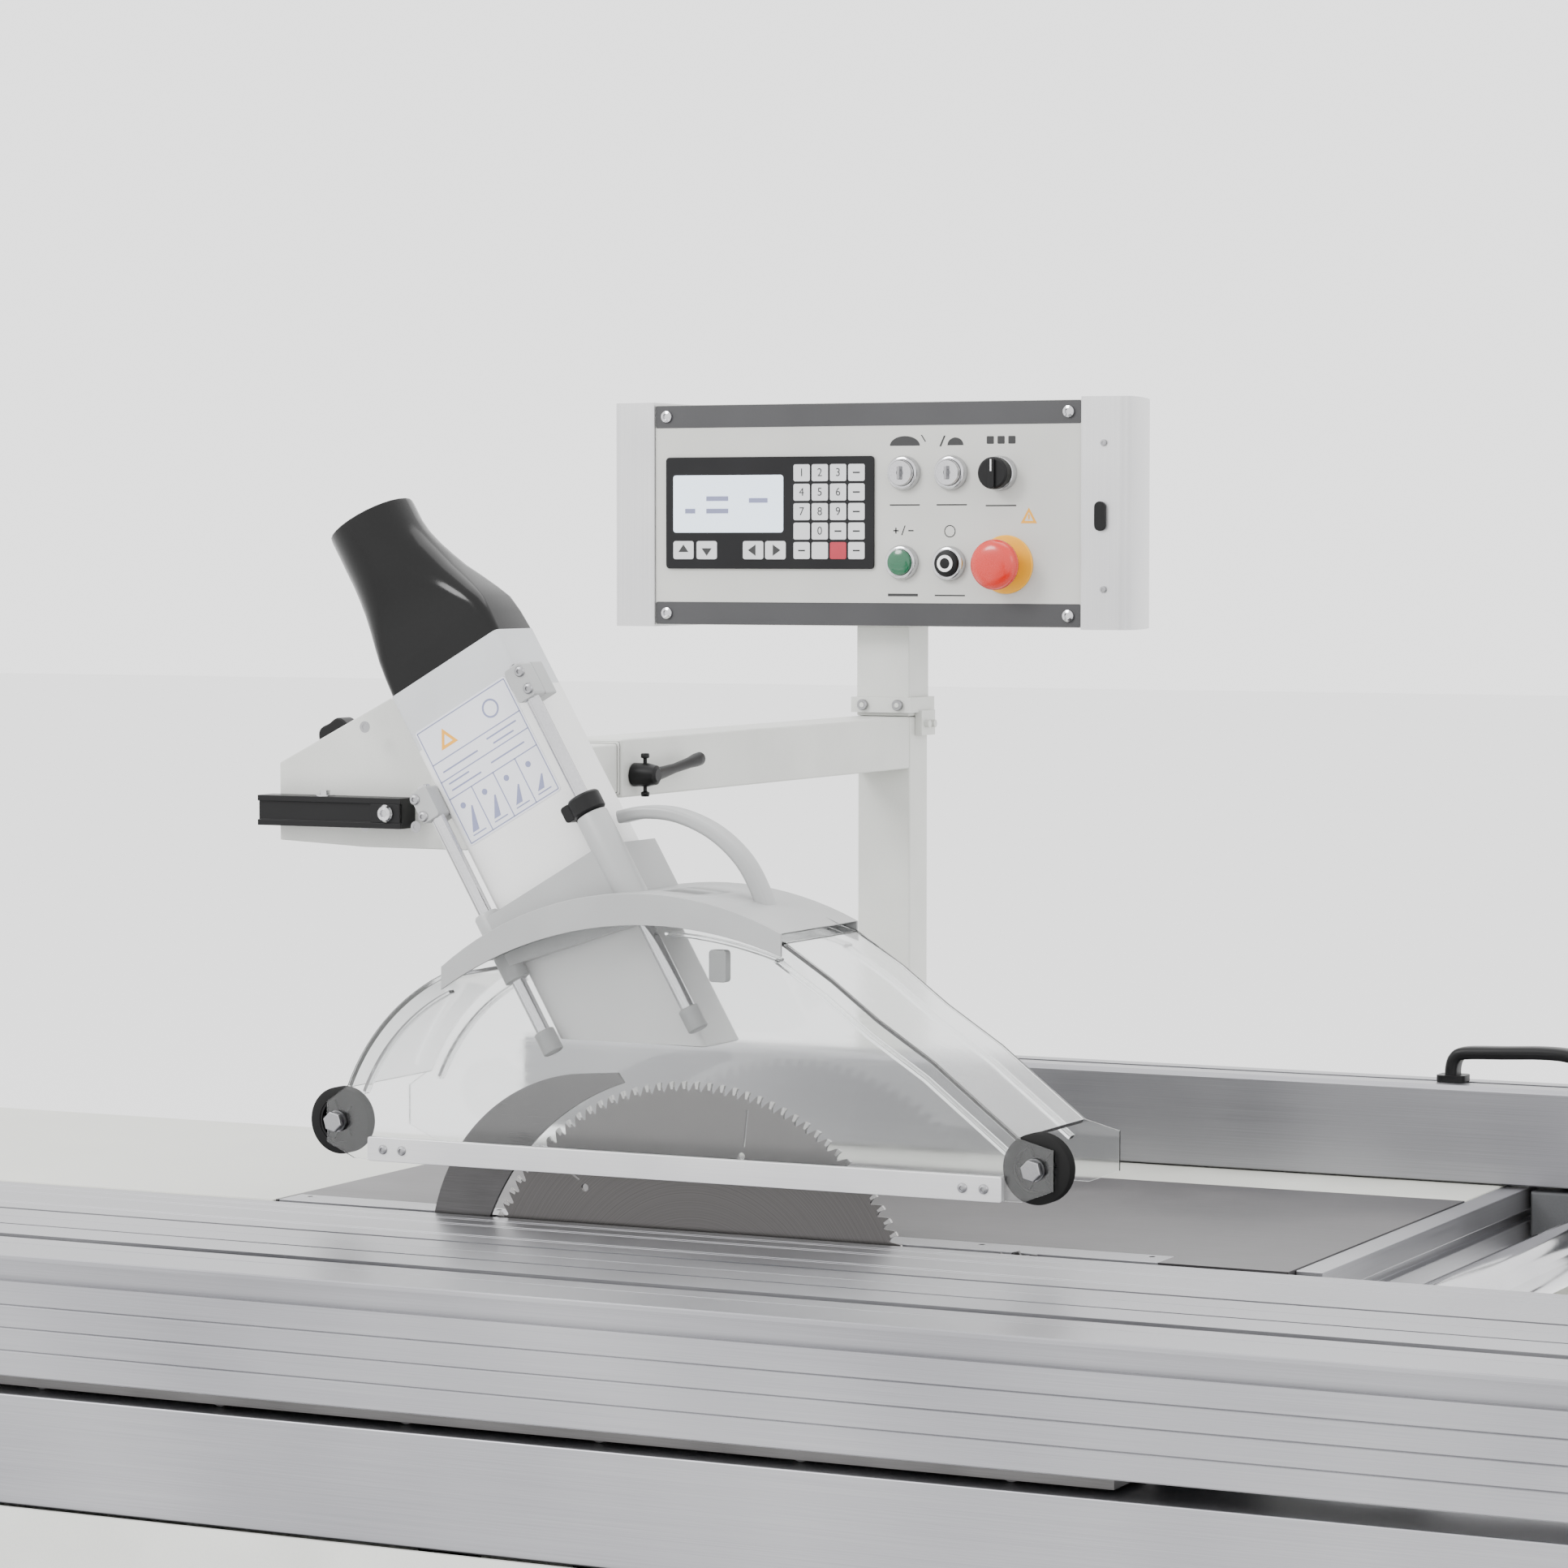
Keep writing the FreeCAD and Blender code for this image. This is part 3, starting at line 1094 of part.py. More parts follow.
parts["base_cabinet"] = base_cabinet()
parts["levelling_feet"] = levelling_feet()
parts["service_door"] = service_door()
parts["dust_port"] = dust_port()
parts["mains_switch_box"] = mains_switch_box()
parts["mains_switch_knob"] = mains_switch_knob()
parts["cable_gland"] = cable_gland()


# ---------------------------------------------------------------- place and write
def whole_box(shapes):
    total = FreeCAD.BoundBox()
    for shape in shapes:
        total.add(shape.BoundBox)
    return total


bounds = whole_box(parts.values())
shift = V(-(bounds.XMin + bounds.XMax) / 2, -(bounds.YMin + bounds.YMax) / 2, TABLE_HEIGHT)
os.makedirs("parts", exist_ok=True)
for name, shape in parts.items():
    shape.translate(shift)
    shape.exportStep("parts/" + name + ".step")
print("nodes", len(parts))
print("shift", shift)
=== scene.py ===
import json
from math import atan2, cos, exp, hypot, pi, radians, sin, sqrt

import bmesh
import bpy
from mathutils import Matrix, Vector
from mathutils.geometry import tessellate_polygon

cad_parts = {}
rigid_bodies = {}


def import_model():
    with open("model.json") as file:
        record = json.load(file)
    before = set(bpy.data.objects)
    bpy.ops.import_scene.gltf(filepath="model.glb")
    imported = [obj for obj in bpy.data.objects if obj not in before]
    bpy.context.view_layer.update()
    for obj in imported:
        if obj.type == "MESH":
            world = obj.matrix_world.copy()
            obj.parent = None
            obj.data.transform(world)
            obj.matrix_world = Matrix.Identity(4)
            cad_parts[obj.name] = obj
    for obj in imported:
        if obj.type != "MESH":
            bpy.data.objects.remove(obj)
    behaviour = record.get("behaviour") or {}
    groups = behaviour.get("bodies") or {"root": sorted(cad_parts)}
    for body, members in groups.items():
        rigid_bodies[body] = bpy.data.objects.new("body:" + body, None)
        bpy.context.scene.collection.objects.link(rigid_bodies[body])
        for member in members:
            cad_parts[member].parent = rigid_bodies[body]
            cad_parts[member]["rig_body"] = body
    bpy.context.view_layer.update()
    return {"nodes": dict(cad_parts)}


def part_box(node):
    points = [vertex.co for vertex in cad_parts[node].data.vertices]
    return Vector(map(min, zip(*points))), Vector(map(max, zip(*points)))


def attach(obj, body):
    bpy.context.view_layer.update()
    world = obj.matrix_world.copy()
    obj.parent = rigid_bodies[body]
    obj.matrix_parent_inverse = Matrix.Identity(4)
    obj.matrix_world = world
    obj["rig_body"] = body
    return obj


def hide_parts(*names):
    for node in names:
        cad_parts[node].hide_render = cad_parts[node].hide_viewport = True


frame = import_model()

# ---------------------------------------------------------------- places
# Millimetres from one point: the arbor's x, the blade's plane and the table top.
MM = 0.001
blade_low, blade_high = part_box("saw_blade")
ARBOR = (blade_low + blade_high) / 2
ORIGIN = Vector((ARBOR.x, ARBOR.y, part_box("throat_insert")[1].z))
ARBOR_Z = (ARBOR.z - ORIGIN.z) / MM
BLADE_R = (blade_high.x - blade_low.x) / 2 / MM
LEAN = radians(30)
TURN = 2 * pi
RIGHT, LEFT, BACK, FRONT = (1, 0, 0), (-1, 0, 0), (0, 1, 0), (0, -1, 0)
UP, DOWN = (0, 0, 1), (0, 0, -1)


def at(x, y, z):
    return ORIGIN + Vector((x, y, z)) * MM


def span(node):
    """Low and high corners of a CAD node, in millimetres from ORIGIN."""
    low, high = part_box(node)
    return (low - ORIGIN) / MM, (high - ORIGIN) / MM


def mid_of(node):
    """Middle of a CAD node's box."""
    return [(a + b) / 2 for a, b in zip(*span(node))]


def lean(s, t, y=0.0):
    """s up along the duct, t across it."""
    return (-s * sin(LEAN) + t * cos(LEAN), y, s * cos(LEAN) + t * sin(LEAN))


UP_LEAN = lean(1, 0)

# ---------------------------------------------------------------- shapes: lists of points and faces
PLANES = {"xz": lambda a, b, c: (a, c, b), "yz": lambda a, b, c: (c, a, b), "xy": lambda a, b, c: (a, b, c),
    "lean": lambda a, b, c: lean(b, a, c), }


def circle(a, b, r, steps=32, start=0.0):
    return [(a + r * cos(start + TURN * n / steps), b + r * sin(start + TURN * n / steps)) for n in range(steps)]


def rounded(a, b, r, steps=5):
    """A rectangle from a[0]..a[1] and b[0]..b[1] with corner radius r."""
    points = []
    for ca, cb, turn in ((a[1] - r, b[1] - r, 0), (a[0] + r, b[1] - r, 1), (a[0] + r, b[0] + r, 2),
                         (a[1] - r, b[0] + r, 3)):
        for n in range(steps + 1):
            angle = pi / 2 * (turn + n / steps)
            points.append((ca + r * cos(angle), cb + r * sin(angle)))
    return points


def rect(a, b):
    return [(a[0], b[0]), (a[1], b[0]), (a[1], b[1]), (a[0], b[1])]


def centre_of(p, q, r):
    """Centre of the circle through three points."""
    d = 2 * (p[0] * (q[1] - r[1]) + q[0] * (r[1] - p[1]) + r[0] * (p[1] - q[1]))
    sp, sq, sr = (v[0] ** 2 + v[1] ** 2 for v in (p, q, r))
    return ((sp * (q[1] - r[1]) + sq * (r[1] - p[1]) + sr * (p[1] - q[1])) / d,
        (sp * (r[0] - q[0]) + sq * (p[0] - r[0]) + sr * (q[0] - p[0])) / d)


def bend(p, q, r, steps=24, grow=0.0):
    """Points on the arc from p through q to r, moved outwards by grow."""
    ca, cb = centre_of(p, q, r)
    angles = [atan2(v[1] - cb, v[0] - ca) for v in (p, q, r)]
    while angles[1] > angles[0]:
        angles[1] -= TURN
    while angles[2] > angles[1]:
        angles[2] -= TURN
    if angles[0] - angles[2] > TURN:
        angles = [atan2(v[1] - cb, v[0] - ca) for v in (p, q, r)]
        while angles[1] < angles[0]:
            angles[1] += TURN
        while angles[2] < angles[1]:
            angles[2] += TURN
    radius = hypot(p[0] - ca, p[1] - cb) + grow
    turn = angles[2] - angles[0]
    return [(ca + radius * cos(angles[0] + turn * n / steps), cb + radius * sin(angles[0] + turn * n / steps))
        for n in range(steps + 1)]


def prism(loops, depth, plane="xz"):
    """Outline loops, the first the outside and the rest holes, pushed from depth[0] to depth[1]."""
    place = PLANES[plane]
    flat = [point for loop in loops for point in loop]
    count = len(flat)
    points = [place(a, b, depth[0]) for a, b in flat] + [place(a, b, depth[1]) for a, b in flat]
    triangles = tessellate_polygon([[Vector((a, b, 0)) for a, b in loop] for loop in loops])
    faces = [tuple(t) for t in triangles] + [tuple(i + count for i in reversed(t)) for t in triangles]
    first = 0
    for loop in loops:
        for n in range(len(loop)):
            i, j = first + n, first + (n + 1) % len(loop)
            faces.append((i, j, j + count, i + count))
        first += len(loop)
    return points, faces


def plate(a, b, r, depth, plane="xz"):
    """A slab with rounded corners."""
    return prism([rounded(a, b, r)], depth, plane)


def slab(a, b, depth, plane="xz"):
    return prism([rect(a, b)], depth, plane)


def strip(there, back, depth):
    """A band between two lines that run the same way."""
    return prism([there + back[::-1]], depth)


def skin(rings, capped=True):
    """A skin over rings of equal point counts."""
    points = [p for ring in rings for p in ring]
    count = len(rings[0])
    faces = []
    for r in range(len(rings) - 1):
        for n in range(count):
            i, j = r * count + n, r * count + (n + 1) % count
            faces.append((i, j, j + count, i + count))
    if capped:
        faces.append(tuple(range(count)))
        faces.append(tuple(range(len(points) - 1, len(points) - 1 - count, -1)))
    return points, faces


def turned(profile, centre, along, steps=40):
    """(radius, height) pairs turned about an axis through centre."""
    axis = Vector(along).normalized()
    side = axis.orthogonal().normalized()
    other = axis.cross(side)
    rings = []
    for r, h in profile:
        r = max(r, 0.01)
        ring = []
        for n in range(steps):
            angle = TURN * n / steps
            ring.append(tuple(Vector(centre) + axis * h + (side * cos(angle) + other * sin(angle)) * r))
        rings.append(ring)
    return skin(rings)


def tube(profile, bore, centre, along, steps=40, inset=0.0):
    """A turned ring: the outside profile going up and a plain bore coming back down."""
    ends = (profile[-1][1] - inset, profile[0][1] + inset)
    points, faces = turned(list(profile) + [(bore, h) for h in ends], centre, along, steps)
    faces = faces[:-2]  # no caps: the bore closes the ring
    total = len(points)
    for n in range(steps):
        m = (n + 1) % steps
        faces.append((total - steps + n, total - steps + m, m, n))
    return points, faces


def swept(path, section):
    """A section of (along Y, along the path's normal) pairs carried down a path."""
    rings = []
    sideways = Vector(BACK)
    for n, point in enumerate(path):
        before, after = path[max(n - 1, 0)], path[min(n + 1, len(path) - 1)]
        tangent = (Vector(after) - Vector(before)).normalized()
        normal = tangent.cross(sideways).normalized()
        rings.append([tuple(Vector(point) + sideways * u + normal * v) for u, v in section])
    return skin(rings)


def hexagon(across_flats, height, centre, along):
    """A nut or bolt head with its corners chamfered."""
    r = across_flats / sqrt(3)
    return turned([(r - 0.8, 0), (r, 0.6), (r, height - 0.6), (r - 0.8, height)], centre, along, 6)


def dome_screw(r, centre, along):
    """A domed head with a round socket."""
    return turned([(r, 0), (r, r * 0.18), (r * 0.8, r * 0.42), (r * 0.45, r * 0.52), (r * 0.42, r * 0.25),
            (0, r * 0.25)], centre, along, 20)


# ---------------------------------------------------------------- pieces
def put(name, mesh, body, material, ease, nodes, sharp):
    mesh.materials.append(material)
    mesh.shade_smooth()
    mesh.set_sharp_from_angle(angle=radians(sharp))
    obj = bpy.data.objects.new(name, mesh)
    bpy.context.scene.collection.objects.link(obj)
    if ease:
        round_over = obj.modifiers.new("rounded_edges", "BEVEL")
        round_over.width = ease * MM
        round_over.segments = 2
        round_over.limit_method = "ANGLE"
        round_over.angle_limit = radians(sharp)
        round_over.use_clamp_overlap = True
        round_over.harden_normals = True
    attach(obj, body)
    if nodes:
        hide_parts(*nodes)
    return obj


def make(name, solids, body, material, ease=0.0, nodes=(), sharp=32):
    """One piece from one or more shapes, with its edges eased and its CAD nodes hidden."""
    points, faces = [], []
    for solid_points, solid_faces in solids:
        first = len(points)
        points += [at(*p) for p in solid_points]
        faces += [tuple(i + first for i in face) for face in solid_faces]
    mesh = bpy.data.meshes.new(name)
    mesh.from_pydata(points, [], faces)
    tidy(mesh)
    return put(name, mesh, body, material, ease, nodes, sharp)


def tidy(mesh):
    """Flat faces joined into one, and every face turned outwards."""
    shape = bmesh.new()
    shape.from_mesh(mesh)
    bmesh.ops.remove_doubles(shape, verts=shape.verts, dist=2e-6)
    bmesh.ops.dissolve_limit(shape, angle_limit=radians(0.5), verts=shape.verts, edges=shape.edges)
    bmesh.ops.recalc_face_normals(shape, faces=shape.faces)
    shape.to_mesh(mesh)
    shape.free()


def eased(node, material, ease=1.0, sharp=32):
    """A CAD node's own shape with its sharp edges rounded over."""
    source = frame["nodes"][node]
    points = [tuple(v.co) for v in source.data.vertices]
    faces = [tuple(p.vertices) for p in source.data.polygons]
    mesh = bpy.data.meshes.new(node + "_piece")
    mesh.from_pydata(points, [], faces)
    tidy(mesh)
    return put(node + "_piece", mesh, source["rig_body"], material, ease, [node], sharp)


def hexed(code):
    """An sRGB hex colour as linear values."""
    values = [int(code[n:n + 2], 16) / 255 for n in (0, 2, 4)]
    return [v / 12.92 if v <= 0.04045 else ((v + 0.055) / 1.055) ** 2.4 for v in values] + [1.0]


def add(tree, kind, fixed=None, links=None, **settings):
    """Adds one node with its settings, fixed inputs and incoming links."""
    node = tree.nodes.new("ShaderNode" + kind)
    for key, value in settings.items():
        setattr(node, key, value)
    for key, value in (fixed or {}).items():
        node.inputs[key].default_value = value
    for key, source in (links or {}).items():
        tree.links.new(source, node.inputs[key])
    return node


def start_material(name):
    material = bpy.data.materials.new(name)
    material.use_nodes = True
    material.node_tree.nodes.clear()
    return material, material.node_tree


def shown(tree, fixed, links):
    surface = add(tree, "BsdfPrincipled", fixed, links)
    add(tree, "OutputMaterial", None, {"Surface": surface.outputs[0]})


def mixed(tree, dark, light, share):
    return add(tree, "Mix", {6: hexed(dark), 7: hexed(light)}, {0: share}, data_type="RGBA").outputs[2]


def coat(material, tree, share, height, light, dark, rough, bump_mm, strength, shader):
    """Colour and gloss that follow share, and a relief of bump_mm that follows height."""
    colour = mixed(tree, dark, light, share)
    gloss = add(tree, "MapRange", {"To Min": rough[0], "To Max": rough[1]}, {"Value": share})
    relief = add(tree, "Bump", {"Strength": strength, "Distance": bump_mm * MM}, {"Height": height})
    shown(tree, shader, {"Base Color": colour, "Roughness": gloss.outputs["Result"],
            "Normal": relief.outputs["Normal"]})
    return material


def finish(name, slot, light, dark, grain_mm, rough, stretch=(1, 1, 1), bump_mm=0.02, cloud_mm=90.0,
           detail=3.0, **shader):
    """A surface with a fine grain of a real size over broad, faint clouds of colour and gloss."""
    material, tree = start_material(name)
    where = add(tree, "TexCoord")
    fine = add(tree, "Mapping", {"Scale": [1 / (grain_mm * s * MM) for s in stretch]},
        {"Vector": where.outputs["Object"]})
    grain = add(tree, "TexNoise", {"Scale": 1.0, "Detail": detail, "Roughness": 0.55},
        {"Vector": fine.outputs["Vector"]})
    cloud = add(tree, "TexNoise", {"Scale": 1 / (cloud_mm * MM), "Detail": 2.0}, {"Vector": where.outputs["Object"]})
    both = add(tree, "Math", {1: 0.5}, {0: grain.outputs["Fac"], 2: cloud.outputs["Fac"]}, operation="MULTIPLY_ADD")
    spread = add(tree, "MapRange", {"From Min": 0.5, "From Max": 1.0}, {"Value": both.outputs[0]})
    return coat(material, tree, spread.outputs["Result"], grain.outputs["Fac"], light, dark, rough, bump_mm, 0.6,
        shader)


def turned_marks(name, slot, light, dark, centre, mark_mm, rough, **shader):
    """Metal ground while it spins: rings about an axis along Y through centre."""
    material, tree = start_material(name)
    where = add(tree, "TexCoord")
    moved = add(tree, "VectorMath", {1: centre}, {0: where.outputs["Object"]}, operation="SUBTRACT")
    flat = add(tree, "VectorMath", {1: (1, 0, 1)}, {0: moved.outputs[0]}, operation="MULTIPLY")
    radius = add(tree, "VectorMath", None, {0: flat.outputs[0]}, operation="LENGTH")
    scaled = add(tree, "Math", {1: 1 / (mark_mm * MM)}, {0: radius.outputs["Value"]}, operation="MULTIPLY")
    marks = add(tree, "TexNoise", {"Scale": 1.0, "Detail": 3.0}, {"W": scaled.outputs[0]}, noise_dimensions="1D")
    return coat(material, tree, marks.outputs["Fac"], marks.outputs["Fac"], light, dark, rough, 0.02, 0.5,
        {"Metallic": 1.0, **shader})


DULL = {"Specular IOR Level": 0.22}
# Powder coat: baked paint with a faint orange peel about 1 mm across and a satin gloss.
powder_light = finish("powder_coated_steel_light", "light_paint", "C9CAC6", "BCBDB9", 1.2, (0.32, 0.42), bump_mm=0.03)
powder_cabinet = finish("powder_coated_steel_cabinet", "cabinet_paint", "C6C7C2", "B8B9B4", 1.4, (0.36, 0.48),
    bump_mm=0.05)
table_paint = finish("stove_enamelled_table_sheet", "table_paint", "BFC0B9", "B4B5AE", 1.6, (0.34, 0.46),
    bump_mm=0.03)
duct_paint = finish("white_painted_duct_sheet", "duct_paint", "DCDCDB", "D2D2D1", 1.2, (0.3, 0.4), bump_mm=0.02)
# Dark grey powder coat for the saw unit, also used as painted shade along the cabinet's fold lines.
dark_paint = finish("dark_grey_powder_coat_and_painted_shade", "dark_paint", "323335", "292A2C", 0.9, (0.45, 0.55), bump_mm=0.05)
# Cast iron surface-ground lengthwise: close parallel scratches that run with X, dull and dark.
cast_iron = finish("surface_ground_cast_iron", "cast_iron", "5E5C5D", "3E3C3E", 0.7, (0.34, 0.5), stretch=(90, 1, 1),
    bump_mm=0.02, cloud_mm=160.0, Metallic=0.9)
cast_housing = finish("sand_cast_painted_iron", "cast_iron", "444547", "343537", 1.5, (0.5, 0.65), bump_mm=0.15)
# Anodised extrusion: fine die lines along its length under a matt clear oxide.
anodised_x = finish("anodised_aluminium_drawn_along_x", "anodised", "9E9EA1", "848488", 0.8, (0.3, 0.44),
    stretch=(240, 1, 1), bump_mm=0.012, cloud_mm=300.0, Metallic=0.85)
anodised_y = finish("anodised_aluminium_drawn_along_y", "anodised", "A6A6A9", "8C8C90", 0.8, (0.28, 0.4),
    stretch=(1, 240, 1), bump_mm=0.012, cloud_mm=300.0, Metallic=0.9)
anodised_z = finish("anodised_aluminium_drawn_along_z", "anodised", "CFCFCF", "BDBDBF", 0.8, (0.3, 0.4),
    stretch=(1, 1, 240), bump_mm=0.01, cloud_mm=200.0, Metallic=0.55)
white_anodised = finish("silver_white_anodised_bar", "anodised", "D6D6D6", "C6C6C8", 0.8, (0.34, 0.44),
    stretch=(240, 1, 1), bump_mm=0.01, Metallic=0.5)
chrome = finish("polished_chrome_plate", "chrome", "C4C4C6", "B2B2B5", 2.5, (0.08, 0.16), bump_mm=0.004, Metallic=1.0)
zinc = finish("bright_zinc_plate", "steel", "A2A2A4", "868688", 1.0, (0.28, 0.4), bump_mm=0.01, Metallic=1.0)
ground_steel = finish("ground_steel", "steel", "626161", "4A4949", 0.5, (0.26, 0.4), stretch=(60, 1, 1), bump_mm=0.01,
    Metallic=1.0)
saw_plate = turned_marks("ground_saw_plate_steel", "blade_steel", "6C6A69", "504E4D", ARBOR, 0.9, (0.26, 0.42))
carbide = finish("tungsten_carbide_tips", "blade_steel", "B4B3B1", "969594", 0.4, (0.22, 0.3), bump_mm=0.004,
    Metallic=1.0)
# Moulded plastics: fine spark texture on the black ones, smoother on the grey.
black_nylon = finish("glass_filled_black_nylon", "black_plastic", "0E0E0F", "080809", 0.35, (0.36, 0.5), bump_mm=0.03,
    **DULL)
black_abs = finish("gloss_black_moulded_abs", "black_plastic", "080808", "040404", 3.0, (0.14, 0.26), bump_mm=0.02,
    **{"Specular IOR Level": 0.25})
grey_moulding = finish("light_grey_moulded_nylon", "grey_plastic", "9C9D9D", "909191", 0.5, (0.3, 0.42), bump_mm=0.02)
tyre_rubber = finish("moulded_black_rubber", "rubber", "101010", "090909", 0.5, (0.55, 0.72), bump_mm=0.04, **DULL)
strip_grey = finish("dark_grey_printed_strip", "dark_paint", "343436", "2C2C2E", 0.5, (0.42, 0.5), bump_mm=0.01)
# Dark ink for the panel's prints, also used as painted shade in the vent slots and the louvre openings.
dark_print_and_shade = finish("matt_panel_ink_and_painted_shade", "dark_paint", "222223", "1A1A1B", 0.5, (0.5, 0.6), bump_mm=0.005)
panel_face = finish("light_grey_polyester_front", "light_paint", "BDBDB9", "B4B4B0", 0.5, (0.4, 0.5), bump_mm=0.01)
display_black = finish("black_polyester_display_front", "display_black", "161618", "0F0F11", 0.5, (0.28, 0.4),
    bump_mm=0.008, **{"Specular IOR Level": 0.2})
key_white = finish("embossed_pale_key_film", "light_paint", "C8C9CB", "BBBCBE", 0.5, (0.35, 0.45), bump_mm=0.008)
key_red = finish("embossed_red_key_film", "switch_red", "A81E33", "981A2C", 0.5, (0.35, 0.45), bump_mm=0.008)
lens_green = finish("green_polycarbonate_lens", "switch_green", "055A38", "03432A", 1.5, (0.12, 0.2), bump_mm=0.01,
    **{"Coat Weight": 0.5, "Coat Roughness": 0.05})
mushroom_red = finish("red_moulded_mushroom", "switch_red", "C8200F", "B51B0D", 0.8, (0.22, 0.32), bump_mm=0.01,
    **{"Coat Weight": 0.3, "Coat Roughness": 0.1})
collar_yellow = finish("yellow_printed_collar", "switch_red", "E8A80C", "DC9C08", 0.8, (0.4, 0.5), bump_mm=0.005)
knob_black = finish("matt_black_knob", "knob_black", "0E0E0F", "08080A", 0.4, (0.4, 0.52), bump_mm=0.02, **DULL)
white_ink = finish("white_ink", "light_paint", "F0F0F0", "E4E4E4", 0.5, (0.5, 0.6), bump_mm=0.003)
label_film = finish("white_label_film", "duct_paint", "D2D3D8", "CACBD2", 0.5, (0.25, 0.35), bump_mm=0.005)
label_ink = finish("pale_blue_grey_label_ink", "duct_paint", "7C80A0", "70748F", 0.5, (0.4, 0.5), bump_mm=0.003)
amber_ink = finish("amber_label_ink", "duct_paint", "E2A020", "D49418", 0.5, (0.4, 0.5), bump_mm=0.003)
frosted = finish("frosted_grey_plastic_band", "grey_plastic", "BCBEC0", "B2B4B6", 0.8, (0.3, 0.4), bump_mm=0.01,
    IOR=1.45)


def clear_sheet():
    """Polycarbonate sheet: clear, faintly grey, with fine wiping scratches in its gloss."""
    material, tree = start_material("clear_polycarbonate_sheet")
    where = add(tree, "TexCoord")
    rubbed = add(tree, "Mapping", {"Scale": [1 / (s * MM) for s in (60, 2, 3)]}, {"Vector": where.outputs["Object"]})
    wipes = add(tree, "TexNoise", {"Scale": 1.0, "Detail": 3.0}, {"Vector": rubbed.outputs[0]})
    gloss = add(tree, "MapRange", {"From Min": 0.35, "From Max": 0.7, "To Min": 0.02, "To Max": 0.09},
        {"Value": wipes.outputs["Fac"]})
    shown(tree, {"Base Color": hexed("FAFBFB"), "IOR": 1.5, "Transmission Weight": 1.0, "Specular IOR Level": 0.5},
        {"Roughness": gloss.outputs[0]})
    return material


def lit_display():
    """Backlit liquid crystal: a pale blue glow with fine rows."""
    material, tree = start_material("backlit_liquid_crystal")
    where = add(tree, "TexCoord")
    rows = add(tree, "TexWave", {"Scale": 1 / (3.0 * MM), "Distortion": 0.0}, {"Vector": where.outputs["Object"]},
        bands_direction="Z")
    colour = mixed(tree, "D6E4F2", "DFEAF6", rows.outputs["Fac"])
    shown(tree, {"Roughness": 0.25, "Emission Strength": 0.55}, {"Base Color": colour, "Emission Color": colour})
    return material


polycarbonate = clear_sheet()
crystal = lit_display()

# ---------------------------------------------------------------- saw unit
TEETH = 108
MOTOR_Z = -335.0


def polar(r, angle):
    return (r * sin(angle), ARBOR_Z + r * cos(angle))


def blade_outline():
    """Teeth whose cutting faces look towards the operator at the top, with round gullets."""
    pitch = TURN / TEETH
    points = []
    for n in range(TEETH):
        for turn, depth in ((0.0, 0.2), (0.26, 0.0), (0.30, 3.6), (0.35, 6.4), (0.44, 8.0), (0.56, 7.8),
                            (0.68, 5.6), (0.80, 3.4), (0.90, 1.6)):
            points.append(polar(BLADE_R - depth - 0.3, (n + turn) * pitch))
    return points


def slot_loop(angle):
    """A narrow expansion slot cut in from near the rim, leaning back as it goes in."""
    return [polar(r, angle + bow + side * 0.9 / r)
        for r, side, bow in ((BLADE_R - 14, 1, 0.0), (BLADE_R - 44, 1, 0.03), (BLADE_R - 44, -1, 0.03),
            (BLADE_R - 14, -1, 0.0))]


def saw_blade_pieces():
    loops = [blade_outline(), circle(0, ARBOR_Z, 15.1, 40)]
    for n in range(6):
        angle = TURN * (n + 0.25) / 6
        loops += [slot_loop(angle), circle(*polar(BLADE_R - 52, angle + 0.03), 3.2, 16)]
    loops += [circle(*polar(30, pi * n + 0.7), 5, 20) for n in range(2)]
    make("saw_blade_plate", [prism(loops, (-1.25, 1.25))], "blade_spindle", saw_plate, 0.15, ["saw_blade"])
    tips = []
    for n in range(TEETH):
        angle = (n + 0.26) * TURN / TEETH
        tips.append(prism([[polar(BLADE_R - depth, angle + turn)
                for depth, turn in ((0, -0.003), (0.4, -0.013), (6, -0.009), (6, 0.001), (0, 0.006))]], (-1.5, 1.5)))
    make("carbide_teeth", tips, "blade_spindle", carbide)


def arbor_pieces():
    """Turned flanges and nut either side of the blade, and the grooved belt pulley."""
    flange = [(15.2, 0), (37.0, 0), (38, 0.8), (38, 5), (34, 8.8), (15.2, 8.8)]
    make("arbor_flanges", [tube(flange, 15.0, (0, 1.6, ARBOR_Z), BACK), tube(flange, 15.0, (0, -1.6, ARBOR_Z), FRONT),
            hexagon(41, 10.6, (0, -10.6, ARBOR_Z), FRONT),
            turned([(14.0, 0), (15, 1), (15, 225), (14, 226)], (0, -25.5, ARBOR_Z), BACK)], "blade_spindle", zinc)
    make("arbor_pulley", [ribbed_wheel(42, ARBOR_Z)], "blade_spindle", ground_steel, 0, ["saw_arbor"])
    make("motor_pulley_wheel", [ribbed_wheel(60, MOTOR_Z), turned([(13.9, 0), (13.9, 50)], (0, 165, MOTOR_Z), BACK)],
        "motor_spindle", ground_steel, 0, ["motor_pulley"])


def ribbed_wheel(r, z):
    """A pulley rim with lengthwise V grooves for a ribbed belt."""
    profile = [(r * 0.4, 0), (r - 1, 0), (r, 1), (r, 2.6)]
    for n in range(8):
        y = 3.2 + n * 2.95
        profile += [(r - 4.0, y), (r - 6.4, y + 1.4)]
    profile += [(r - 4.0, 26.8), (r, 27.4), (r, 29), (r - 1, 30), (r * 0.4, 30), (r * 0.4, 24)]
    return turned(profile, (0, 165, z), BACK, 64)


